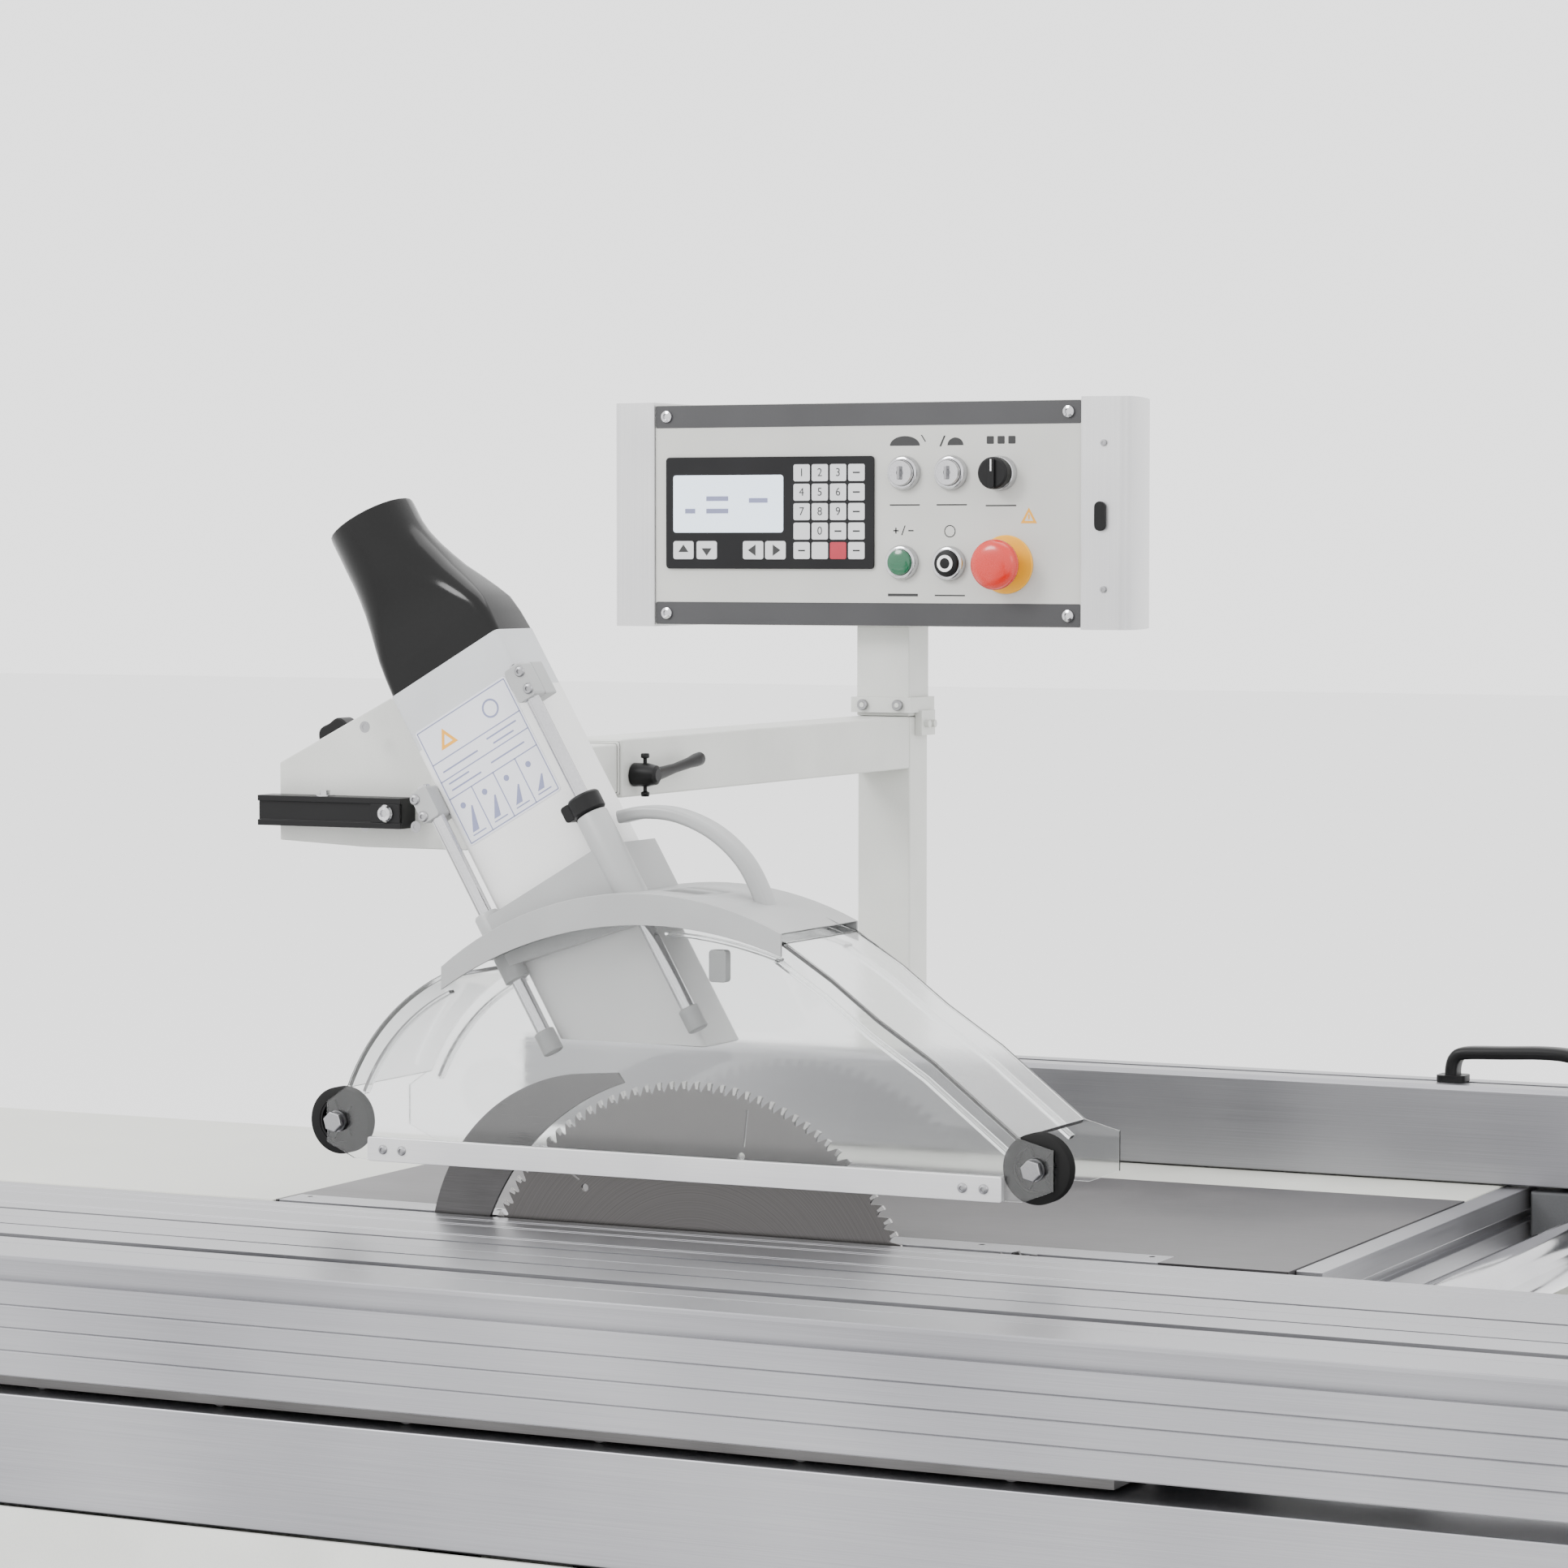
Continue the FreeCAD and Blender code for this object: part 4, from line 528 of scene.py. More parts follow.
def motor_pieces():
    """Finned motor barrel with its fan cowl, feet and terminal box."""
    low, high = span("main_motor")
    z = MOTOR_Z
    fins = [(r * cos(angle), z + r * sin(angle))
        for r, angle in ((84.5 if n % 2 else 76.0, TURN * n / 96) for n in range(96))]
    barrel = prism([fins], (low.y + 22, high.y - 52))
    front = turned([(14.4, 0), (60, 0), (82, 6), (84, 10), (84, 24), (80, 24)], (0, low.y, z), BACK, 64)
    cowl = turned([(82, 0), (84.8, 1), (84.8, 46), (78, 52), (40, 52), (38, 48), (0, 48)], (0, high.y - 52, z), BACK,
        64)
    feet = [slab((x - 14, x + 14), (low.z, z - 60), (low.y + 24, high.y - 60)) for x in (-48, 48)]
    make("main_motor_barrel", [barrel, front, cowl] + feet, "rise_unit", dark_paint, 0.8, ["main_motor"])
    make("motor_terminal_box", [plate((-44, 44), (low.y + 32, low.y + 128), 8, (z + 74, z + 112), "xy"),
            plate((-45, 45), (low.y + 31, low.y + 129), 8, (z + 112.4, z + 114.8), "xy")], "rise_unit", dark_paint,
        0.8)


saw_blade_pieces()
arbor_pieces()
motor_pieces()
for node, paint, ease in (
        ("drive_belt", tyre_rubber, 0.6), ("rise_slide", dark_paint, 1.2), ("tilt_frame", dark_paint, 1.2),
        ("scoring_motor", dark_paint, 1.5), ("dust_shroud", dark_paint, 0.4), ("scoring_blade", ground_steel, 0.2),
        ("scoring_arbor", zinc, 0.6)):
    eased(node, paint, ease)


def knife_pieces():
    """Riving knife: ground plate with its edges eased, and its clamp plate."""
    eased("riving_knife", ground_steel, 0.5)
    make("knife_clamp", [plate((-236, -216), (-122, -62), 5, (-5.5, -1.9)), hexagon(13, 6, (-226, -5.5, -80), FRONT),
            hexagon(13, 6, (-226, -5.5, -104), FRONT)], "rise_unit", zinc, 0.5)


knife_pieces()

# ---------------------------------------------------------------- sliding carriage
def carriage_pieces():
    """Extruded profile with its slot for clamps, shallow grooves and ribbed front face, and end caps."""
    low, high = span("sliding_carriage")
    edge, front, inner = high.y, low.y, -235.0
    top = []
    for y in (-24, -30, -52, -58, -104, -110):
        top += [(y + 0.6, 0), (y, -0.8), (y - 0.6, 0)]
    profile = [(edge, -3), (edge, -0.6), (edge - 0.6, 0)] + top
    profile += [(-137, 0), (-137, -2.4), (-143, -2.4), (-143, 0), (-176, 0), (-177, -0.9), (-178, 0), (-212, 0),
        (-212, -1.6), (-216, -1.6), (-216, 0), (-260, 0), (-260, -8), (-255, -8), (-255, -16.8), (-281, -16.8),
        (-281, -8), (-276, -8), (-276, 0), (-300, 0), (-301, -0.9), (-302, 0), (front + 1, 0), (front, -1),
        (front, -4), (front + 8, -4), (front + 8, -21), (front, -21)]
    for z in (-40, -58, -76):
        profile += [(front, z + 1), (front + 1, z), (front, z - 1)]
    profile += [(front, low.z + 1), (front + 1, low.z), (inner - 1, low.z), (inner, low.z + 1), (inner, -12),
        (edge - 10, -12)]
    hole = rect((front + 14, inner - 6), (low.z + 6, -27))
    ends = (low.x + 4, high.x - 4)
    make("carriage_profile", [prism([profile, hole], ends, "yz")], "carriage", anodised_x, 0.0, ["sliding_carriage"],
        20)
    caps = [cap for side in ((low.x, low.x + 3.8), (high.x - 3.8, high.x))
        for cap in (slab((inner - 0.5, edge - 8), (-11.5, -0.5), side, "yz"),
            plate((front + 0.5, inner - 0.7), (low.z + 0.5, -0.5), 3, side, "yz"))]
    make("carriage_end_caps", caps, "carriage", black_nylon, 0.8)
    screws = [dome_screw(5, (x, y, z), (side, 0, 0)) for x, side in ((low.x + 2.8, -1), (high.x - 2.8, 1))
        for y in (-330, -252) for z in (-18, -78)]
    make("carriage_cap_screws", screws, "carriage", zinc)


carriage_pieces()
eased("roller_cage", ground_steel, 0.6)
eased("carriage_beam", anodised_x, 2.0)

# ---------------------------------------------------------------- fixed tables
for node, paint, ease in (("cast_iron_table", cast_iron, 0.9), ("throat_insert", anodised_x, 0.4),
                          ("outfeed_table", table_paint, 2.0), ("extension_table", table_paint, 2.0)):
    eased(node, paint, ease)


def insert_screws():
    low, high = span("throat_insert")
    screws = [turned([(5.5, 0), (5.5, 0.05), (2.6, 0.05), (2.6, -1.6), (0, -1.6)], (x, (low.y + high.y) / 2 + 8, 0),
            UP, 24) for x in (-385, -200, 60, 240, 385)]
    make("insert_screws", screws, "base", zinc)


insert_screws()


# ---------------------------------------------------------------- rip fence
def fence_pieces():
    low, high = span("fence_profile")
    y, z = (low.y, high.y), (low.z, high.z)
    mid = z[0] + 42
    outer = [(y[0], z[0] + 1), (y[0] + 1, z[0]), (y[1] - 1, z[0]), (y[1], z[0] + 1), (y[1], mid - 6),
        (y[1] - 3, mid - 6), (y[1] - 3, mid - 11), (y[1] - 11, mid - 11), (y[1] - 11, mid + 11), (y[1] - 3, mid + 11),
        (y[1] - 3, mid + 6), (y[1], mid + 6), (y[1], z[1] - 4), (y[1] - 4, z[1]), (y[0] + 36, z[1]),
        (y[0] + 36, z[1] - 3), (y[0] + 41, z[1] - 3), (y[0] + 41, z[1] - 10), (y[0] + 21, z[1] - 10),
        (y[0] + 21, z[1] - 3), (y[0] + 26, z[1] - 3), (y[0] + 26, z[1]), (y[0] + 4, z[1]), (y[0], z[1] - 4)]
    low_hole = rounded((y[0] + 4, y[1] - 15), (z[0] + 4, mid - 14), 3)
    high_hole = rounded((y[0] + 4, y[1] - 15), (mid + 2, z[1] - 14), 3)
    make("fence_extrusion", [prism([outer, low_hole, high_hole], (low.x + 2.5, high.x - 2.5), "yz")], "fence",
        anodised_x, 0.5, ["fence_profile"])
    make("fence_end_caps", [plate((y[0] + 0.3, y[1] - 0.3), (z[0] + 0.3, z[1] - 0.3), 4, ends, "yz")
            for ends in ((low.x, low.x + 2.4), (high.x - 2.4, high.x))], "fence", black_nylon, 0.6)


def bow_handle():
    """Round-edged moulded bow with flared feet."""
    low, high = span("fence_bow_handle")
    base, y = low.z, (low.y + high.y) / 2
    path = [(low.x + 14, y, base + 1), (low.x + 14, y, base + 12), (low.x + 17, y, base + 21),
        (low.x + 26, y, base + 25.5), (low.x + 60, y, base + 27), (high.x - 55, y, base + 28.5),
        (high.x - 30, y, base + 27), (high.x - 16, y, base + 20), (high.x - 12, y, base + 10),
        (high.x - 12, y, base + 1)]
    section = rounded((-10, 10), (-5.5, 5.5), 4.5)
    feet = [plate((x - 13, x + 13), (y - 11.8, y + 11.8), 6, (base, base + 6), "xy")
        for x in (low.x + 14, high.x - 13)]
    make("fence_bow_grip", [swept(smooth_path(path, 4), section)] + feet, "fence", black_nylon, 0.8,
        ["fence_bow_handle"])


def smooth_path(points, steps):
    """A path eased through its points."""
    out = []
    last = len(points) - 1
    for n in range(last):
        p0, p1, p2, p3 = (Vector(points[min(max(i, 0), last)]) for i in (n - 1, n, n + 1, n + 2))
        for k in range(steps):
            t = k / steps
            out.append(tuple(0.5 * ((2 * p1) + (p2 - p0) * t + (2 * p0 - 5 * p1 + 4 * p2 - p3) * t * t
                    + (3 * p1 - p0 - 3 * p2 + p3) * t ** 3)))
    return out + [tuple(points[-1])]


def fence_lever():
    low, high = span("fence_clamp_lever")
    x, y, z = low.x + 12, (low.y + high.y) / 2, high.z - 15
    arm = skin([[(x + 0.5 - w * c, y + w * s, z - d)
            for c, s in ((cos(TURN * n / 16) * 0.8, sin(TURN * n / 16)) for n in range(16))]
            for d, w in ((0, 7), (40, 6), (98, 6), (104, 9), (112, 11.5), (124, 12), (134, 10), (136, 6))])
    hub = turned([(12, 0), (14.6, 1.5), (14.6, 14), (11, 15.8), (0, 15.8)], (low.x + 3.2, y, z), RIGHT)
    make("fence_lever_arm", [arm, hub], "fence_lever", black_nylon, 0, ["fence_clamp_lever"])


def fence_rail_pieces():
    eased("fence_rail", anodised_y, 0.8)
    low, high = span("fence_round_bar")
    x, _, z = mid_of("fence_round_bar")
    length = high.y - low.y
    make("fence_guide_bar", [turned([(15, 0), (23.5, 0), (25, 1.5), (25, length - 1.5), (23.5, length), (15, length)],
            (x, low.y, z), BACK, 64)], "base", chrome, 0, ["fence_round_bar"])
    eased("fence_head", cast_housing, 2.5)
    head_low, head_high = span("fence_head")
    bolts = [hexagon(13, 7, (head_low.x + dx, head_high.y - 19.9, z), BACK) for dx in (30, 120) for z in (18, 52)]
    make("fence_head_bolts", bolts, "fence_carrier", zinc)


fence_pieces()
bow_handle()
fence_lever()
fence_rail_pieces()

# ---------------------------------------------------------------- guard post and telescopic arm
for node, ease in (("guard_post", 3.0), ("panel_post", 3.0), ("arm_outer", 3.0), ("arm_inner", 3.0),
                   ("post_collar", 0.8), ("guard_bracket_plate", 1.2)):
    eased(node, powder_light, ease)


def post_fittings():
    low = span("guard_post")[0]
    x, y, _ = mid_of("guard_post")
    spots = [(x + dx, y + dy) for dx in (-80, 80) for dy in (-80, 80)]
    anchors = [shape for spot in spots
        for shape in (hexagon(19, 9, (*spot, low.z + 12.2), UP),
            tube([(15, 0), (15, 0.2)], 6, (*spot, low.z + 12.05), UP))]
    make("post_anchor_bolts", anchors, "base", zinc)
    collar_low = span("post_collar")[0]
    screws = [turned([(5.2, 0), (5.6, 0.5), (5.6, 4.6), (5.0, 5.2), (2.6, 5.2), (2.6, 2.5), (0, 2.5)],
            (x + dx, collar_low.y + 0.3 + 4.9, collar_low.z + 32), FRONT, 20) for dx in (-20, 20)]
    make("collar_screws", screws, "base", zinc)
    outer_low, outer_high = span("arm_outer")
    inner_x = mid_of("arm_outer")[0]
    sleeve = prism([rounded((outer_low.x + 2.5, outer_high.x - 2.5), (outer_low.z + 2.5, outer_high.z - 2.5), 3),
            rounded((inner_x - 25.85, inner_x + 25.85), (outer_low.z + 4.15, outer_high.z - 4.15), 2)],
        (outer_low.y - 2.4, outer_low.y - 0.1))
    make("arm_guide_collar", [sleeve], "base", powder_light, 0.4)


def arm_lever():
    """Moulded clamping lever: hub with a screw, tapered handle and a cross pin below."""
    low = span("arm_clamp_lever")[0]
    x, y, z = low.x, low.y + 13, 343.0
    hub = turned([(10, 0), (11, 1), (11, 15), (9, 24), (6, 26), (0, 26)], (x, y, z), RIGHT)
    stages = ((2, 0, 6.5, 7.5), (22, 1, 5.5, 6), (48, 4, 4.5, 4.6), (78, 8, 5, 5.2), (92, 10, 6.4, 6.4),
        (100, 11, 6.4, 6.4), (104, 11.4, 4, 4))
    rings = [[(x + 17 + w * a, y + d, z + rise + h * b) for a, b in circle(0, 0, 1, 20)] for d, rise, w, h in stages]
    make("arm_lever_grip", [hub, skin(rings)], "arm_lever", black_nylon, 0, ["arm_clamp_lever"])
    pin = turned([(3.4, -20), (4, -19), (4, -16), (1.8, -15), (1.8, 15), (4, 16), (4, 19), (3.4, 20)], (x + 12, y, z),
        UP, 20)
    make("arm_lever_pin", [pin], "arm_lever", black_nylon)
    make("arm_lever_screw", [hexagon(9, 3, (x + 26.0 - 3.4, y, z), RIGHT)], "arm_lever", zinc)


def knob_and_plate_fittings():
    low, high = span("bracket_knob")
    x, _, z = mid_of("bracket_knob")
    lobes = [(r * cos(a) + x, r * sin(a) + z)
        for a, r in ((a, 21.9 - 2.6 * (0.5 + 0.5 * cos(6 * a))) for a in (TURN * n / 72 for n in range(72)))]
    make("plate_knob_lobes", [prism([lobes], (low.y + 6, high.y)), turned([(10, 0), (10, 6.2)], (x, low.y, z), BACK)],
        "plate_knob", black_nylon, 1.6, ["bracket_knob"])
    plate_front = span("guard_bracket_plate")[0].y
    bolts = [turned([(5, 0), (5, 0.3), (2.4, 0.3), (2.4, -0.5), (0, -0.5)], (bx, plate_front, bz), FRONT, 20)
        for bx, bz in ((-350, 400), (-350, 316), (-300, 316), (-300, 405))]
    make("bracket_plate_screws", bolts, "guard_arm", zinc)
    (left, front, bottom), (right, back, top) = span("channel_bar")
    section = [(back, bottom), (front, bottom), (front, bottom + 5), (front + 2.5, bottom + 5),
        (front + 2.5, top - 5), (front, top - 5), (front, top), (back, top)]
    body = prism([section], (left, right), "yz")
    pad = slab((right - 30, right - 1), (bottom + 5, top - 5), (front + 0.2, front + 2.6))
    make("channel_bar_profile", [body, pad], "guard_arm", black_nylon, 0.5, ["channel_bar"])
    bolts = [dome_screw(7.5, (right - 15, front + 0.2, (bottom + top) / 2), FRONT),
        turned([(8.5, 0), (8.5, 1), (4.5, 1), (4.5, 5), (0, 5)], (left + 62, front + 10, top), UP, 24)]
    make("channel_bolts", bolts, "guard_arm", chrome)


post_fittings()
arm_lever()
knob_and_plate_fittings()

# ---------------------------------------------------------------- extraction duct
DUCT_T = (-34.0, 83.0)
DUCT_Y = (0.0, 65.0)
DUCT_TOP = 513.0
DUCT_WALL = 2.2
ROD_Y = -10.0
RODS = ((-38.0, 195.0, 432.0), (90.0, 150.0, 476.0))


def duct_ring(s_left, s_right, inset, r=5.0):
    """A rounded ring round the duct whose height runs from s_left to s_right across it."""
    ring = []
    t = (DUCT_T[0] + inset, DUCT_T[1] - inset)
    for a, y in rounded(t, (DUCT_Y[0] + inset, DUCT_Y[1] - inset), r):
        share = (a - t[0]) / (t[1] - t[0])
        ring.append(lean(s_left + (s_right - s_left) * share, a, y))
    return ring


def duct_pieces():
    """Folded sheet duct: level lower mouth, a frosted band under the spout, and bolted rod clamps."""
    low_z, band = span("extraction_duct")[0].z, DUCT_TOP - 52
    mouth = [(low_z - t * sin(LEAN)) / cos(LEAN) for t in DUCT_T]
    for name, (foot, inset), top, paint, nodes in (
            ("duct_sheet", (mouth, 0), band, duct_paint, ["extraction_duct"]),
            ("duct_top_band", ((band + 0.2, band + 0.2), 0.2), DUCT_TOP, frosted, ())):
        outer = [duct_ring(*foot, inset), duct_ring(top, top, inset)]
        inner = [duct_ring(top, top, inset + DUCT_WALL, 3.5), duct_ring(*foot, inset + DUCT_WALL, 3.5)]
        make(name, [loop_skin(outer + inner)], "guard_arm", paint, 0, nodes)
    blocks = []
    for s, t, side in (((402, 430), (-49, -31), (-49, DUCT_T[0] - 0.1)),
                       ((444, 474), (80.5, 98.5), (DUCT_T[1] + 0.1, 98.5))):
        blocks += [plate(t, s, 3, (ROD_Y - 8.5, -0.2), "lean"), plate(side, s, 1.4, (-0.4, 18), "lean")]
    make("rod_clamp_blocks", blocks, "guard_arm", grey_moulding, 0.8)
    screws = [dome_screw(4.5, lean(s, t, ROD_Y - 8.4), FRONT)
        for s, t in ((408, -45.4), (424, -45.4), (451, 94.6), (467, 94.6))]
    make("rod_clamp_screws", screws, "guard_arm", zinc)


def loop_skin(rings):
    points, faces = skin(rings, capped=False)
    count = len(rings[0])
    last = len(points) - count
    for n in range(count):
        faces.append((last + n, last + (n + 1) % count, (n + 1) % count, n))
    return points, faces


def rod_pieces():
    rods, caps = [], []
    for t, s0, s1 in RODS:
        rods.append(turned([(5, 0), (6, 1), (6, s1 - s0 - 1), (5, s1 - s0)], lean(s0, t, ROD_Y), UP_LEAN, 32))
        caps.append(turned([(7.2, 0), (8.8, 1.2), (8.8, 19), (7.8, 20), (6.1, 20)], lean(s0 - 12, t, ROD_Y), UP_LEAN,
                28))
    make("chromed_guide_rods", rods, "guard_arm", chrome, 0, ["guide_rods"])
    make("rod_end_caps", caps, "guard_arm", grey_moulding)
    ring = tube([(12.6, 0), (14.2, 1.5), (14.2, 14), (12.6, 16)], 6.4, lean(337, 90, ROD_Y), UP_LEAN, 32)
    ear = plate((70, 80), (338, 352), 3, (ROD_Y - 8, ROD_Y + 8), "lean")
    tail = plate((73, 77.5), (304, 340), 1.5, (ROD_Y + 3, ROD_Y + 6), "lean")
    make("hood_friction_clip", [ring, ear, tail], "hood", black_nylon, 0.6)


def spout_ring(s, width, depth, r, shift, pinch=0.0):
    ring = []
    mid_t, mid_y = (DUCT_T[0] + DUCT_T[1]) / 2 + shift, (DUCT_Y[0] + DUCT_Y[1]) / 2
    for a, y in rounded((-width / 2, width / 2), (-depth / 2, depth / 2), r, 7):
        dent = pinch * exp(-((a - width * 0.32) / (width * 0.22)) ** 2) if y < 0 else 0.0
        ring.append(lean(s, mid_t + a, mid_y + y + dent))
    return ring


def spout_pieces():
    """Moulded spout: rectangular skirt, shoulders drawn in with a dent in the front, round mouth."""
    stages = ((513.3, 116.6, 64.6, 7, 0, 0), (530, 116, 64.5, 9, 0, 0), (545, 114, 65, 12, -0.5, 1),
        (558, 108, 67, 17, -2.5, 4), (572, 100, 69, 22, -5, 6.5), (586, 92, 71, 27, -8, 7),
        (600, 86, 73, 31, -10.5, 5.5), (614, 81, 74, 34, -13, 3), (628, 77.5, 75, 36, -15.2, 1),
        (640, 76, 75.6, 37.2, -16, 0), (656, 76, 75.8, 37.4, -16, 0), (659.4, 75.4, 75.2, 37.2, -16, 0),
        (660, 73, 72.8, 36, -16, 0))
    outside = [spout_ring(*stage) for stage in stages]
    inside = [spout_ring(s, w - 6, d - 6, r - 2.9 if r > 8 else 4, shift, pinch)
        for s, w, d, r, shift, pinch in reversed(stages[:-1])]
    make("moulded_spout", [loop_skin(outside + inside)], "guard_arm", black_abs, 0, ["duct_spout"], 50)


def duct_label():
    """Instruction plate with framed pictograms of plain shapes."""
    back = -0.05
    face = back - 0.3

    def flat(*loops):
        return prism(loops, (face - 0.12, face), "lean")

    make("duct_label", [plate((-28, 71), (369, 476), 3, (face, back), "lean")], "guard_arm", label_film)
    lines = [flat(rect((-26, 69), (s - 0.45, s + 0.45))) for s in (371, 412, 428, 444, 474)]
    lines += [flat(rect((t - 0.45, t + 0.45), (371, top)))
        for t, top in ((-2.2, 412), (21.5, 412), (45.2, 412), (-26, 474), (69, 474))]
    for n, t in enumerate((-14, 9.6, 33.4, 57)):
        lines += [flat([(t - 6, 378), (t + 1, 378), (t + 5, 398 - 3 * n), (t + 3.8, 398.6 - 3 * n)]),
            flat(circle(t - 3, 402, 2.6, 20)), flat(rect((t - 7, t + 7), (375, 376)))]
    for s, t0, t1 in ((417, -20, 12), (423, -20, 2), (419, 24, 60), (434, -20, 18), (438, 30, 62), (432, 34, 56)):
        lines.append(flat(rect((t0, t1), (s, s + 1.3))))
    lines.append(flat(circle(46, 459, 8, 28), circle(46, 459, 6.4, 28)))
    make("duct_label_print", lines, "guard_arm", label_ink)
    make("duct_label_sign", [flat([(-12, 451), (6, 451), (-3, 467)], [(-7.6, 453.6), (1.6, 453.6), (-3, 461.8)])],
        "guard_arm", amber_ink)


duct_pieces()
rod_pieces()
spout_pieces()
duct_label()

# ---------------------------------------------------------------- hood
ARCH = ((-216.0, 202.0), (-64.0, 256.0), (98.0, 240.0))
TAIL = ((-306.0, 106.0), (-272.0, 160.0), (-216.0, 202.0))
HOOD_FRONT, HOOD_BACK = -38.0, 100.0
ROLLERS = ((-316.0, 76.0), (314.0, 72.0))


def hood_outline(inset=0.0):
    """The hood's side: level foot, left bow, arch under the cap, and the long front slope."""
    points = [(-300 + inset, 46), (-326 + inset, 58), (-326 + inset, 92 - inset)]
    points += bend(*TAIL, 14, -inset) + bend(*ARCH, 24, -inset)[1:]
    points += [(140, 213 - inset * 1.2), (180, 183 - inset * 1.2), (228, 152 - inset * 1.2), (300, 96 - inset),
        (330 - inset, 88 - inset), (330 - inset, 56), (304 - inset, 46)]
    return points


def hood_pieces():
    """Clear hood: two side sheets, the bent top sheet and an inner lip along the arch."""
    holes = [circle(x, z, 5.4, 24) for x, z in ROLLERS]
    near = prism([hood_outline()] + holes, (HOOD_FRONT + 0.1, HOOD_FRONT + 3))
    far = prism([hood_outline()], (HOOD_BACK - 3, HOOD_BACK - 0.1))
    make("hood_side_sheets", [near, far], "hood", polycarbonate, 0.6, ["hood_shell"])
    inside = (HOOD_FRONT + 3.15, HOOD_BACK - 3.15)
    arch, arch_in = bend(*ARCH, 24), bend(*ARCH, 24, -3.5)
    cut = [n for n, p in enumerate(arch) if p[0] > -12][0]
    slope = [(98, 240), (140, 213), (180, 183), (228, 152), (300, 96)]
    strips = [strip(bend(*TAIL, 14), bend(*TAIL, 14, -3.5), inside), strip(arch, arch_in, (75.0, inside[1])),
        strip(arch[cut:], arch_in[cut:], (inside[0], 74.7)),
        strip(slope, [(x - 1.8, z - 3.2) for x, z in slope], inside)]
    make("hood_top_sheet", strips, "hood", polycarbonate, 0.5)
    bands = [(bend(*ARCH, 24, -14)[cut:], bend(*ARCH, 24, -17)[cut:]),
        [[(x - dx, z - dz) for x, z in slope] for dx, dz in ((8, 13), (10, 16))],
        (bend(*TAIL, 14, -14), bend(*TAIL, 14, -17))]
    lips = [strip(*band, y) for y in ((inside[0], inside[0] + 9), (inside[1] - 9, inside[1])) for band in bands]
    make("hood_inner_lips", lips, "hood", polycarbonate, 0.4)
    make("hood_clip", [plate((30, 46), (206, 232), 3, (HOOD_FRONT + 3.3, HOOD_FRONT + 12))], "hood", grey_moulding,
        1.0)


def across(point):
    """How far across the duct an (x, z) point lies."""
    return point[0] * cos(LEAN) + point[1] * sin(LEAN)


def cap_pieces():
    """One moulding: curved saddle with side flanges, collar round the duct, rod sleeves and a D grip."""
    y = (HOOD_FRONT - 3, HOOD_BACK + 3)
    under = [p for p in bend(*ARCH, 24, 0.3) if -214 <= p[0] <= 97]
    over = bend((-214, 209), (-62, 273.5), (97, 247.5), 24)

    def part(keep):
        above, below = ([p for p in arc if keep(across(p))] for arc in (over, under))
        return above + below[::-1]

    clear = (DUCT_T[0] - 1.2, DUCT_T[1] + 1.2)
    band = (DUCT_Y[0] - 1.4, DUCT_Y[1] + 1.4)
    saddle = [strip(over, under, (HOOD_FRONT - 0.2, band[0])), strip(over, under, (band[1], HOOD_BACK + 0.2)),
        prism([part(lambda t: t < clear[0])], band), prism([part(lambda t: t > clear[1])], band)]
    flange_low = bend((-214, 190), (-64, 247), (97, 229), 24)
    flanges = [strip(over, flange_low, depth) for depth in ((y[0], HOOD_FRONT - 0.3), (HOOD_BACK + 0.3, y[1]))]
    make("cap_saddle", saddle + flanges, "hood", grey_moulding, 1.0, ["hood_cap"])
    t, s = (DUCT_T[0] - 8, DUCT_T[1] + 8), (238, 308)
    gap = 1.0
    inner = (DUCT_Y[0] - gap, DUCT_Y[1] + gap)
    walls = [prism([[(t[0], s[0] + 26), (t[1], s[0] - 2), (t[1], s[1]), (t[0], s[1] - 1)]],
            (ROD_Y - 10, DUCT_Y[0] - gap), "lean"), slab((t[0], DUCT_T[0] - gap), (s[0] + 22, s[1]), inner, "lean"),
        slab((DUCT_T[1] + gap, t[1]), (s[0], s[1]), inner, "lean"),
        slab(t, (s[0] + 22, s[1]), (DUCT_Y[1] + gap, DUCT_Y[1] + 8), "lean")]
    make("cap_collar", walls, "hood", grey_moulding, 1.6)
    sleeve = [(10, 0), (13.6, 1.2), (13.6, 94), (12.4, 96), (6.5, 96.4)]
    boss = [(8, 0), (10.8, 1), (10.8, 60), (9.6, 62), (6.5, 62)]
    make("cap_sleeves", [tube(sleeve, 6.2, lean(240, 90, ROD_Y), UP_LEAN, 36),
            tube(boss, 6.2, lean(250, -38, ROD_Y), UP_LEAN, 36)], "hood", grey_moulding)
    grip = [(x, 33.0, z) for x, z in ((-84, 332), (-60, 336.5), (-30, 334), (2, 321), (28, 299), (44, 272),
            (51, 250))]
    section = rounded((-10.8, 10.8), (-5.4, 5.4), 3.6)
    make("cap_grip", [swept(smooth_path(grip, 5), section)], "hood", grey_moulding, 0)


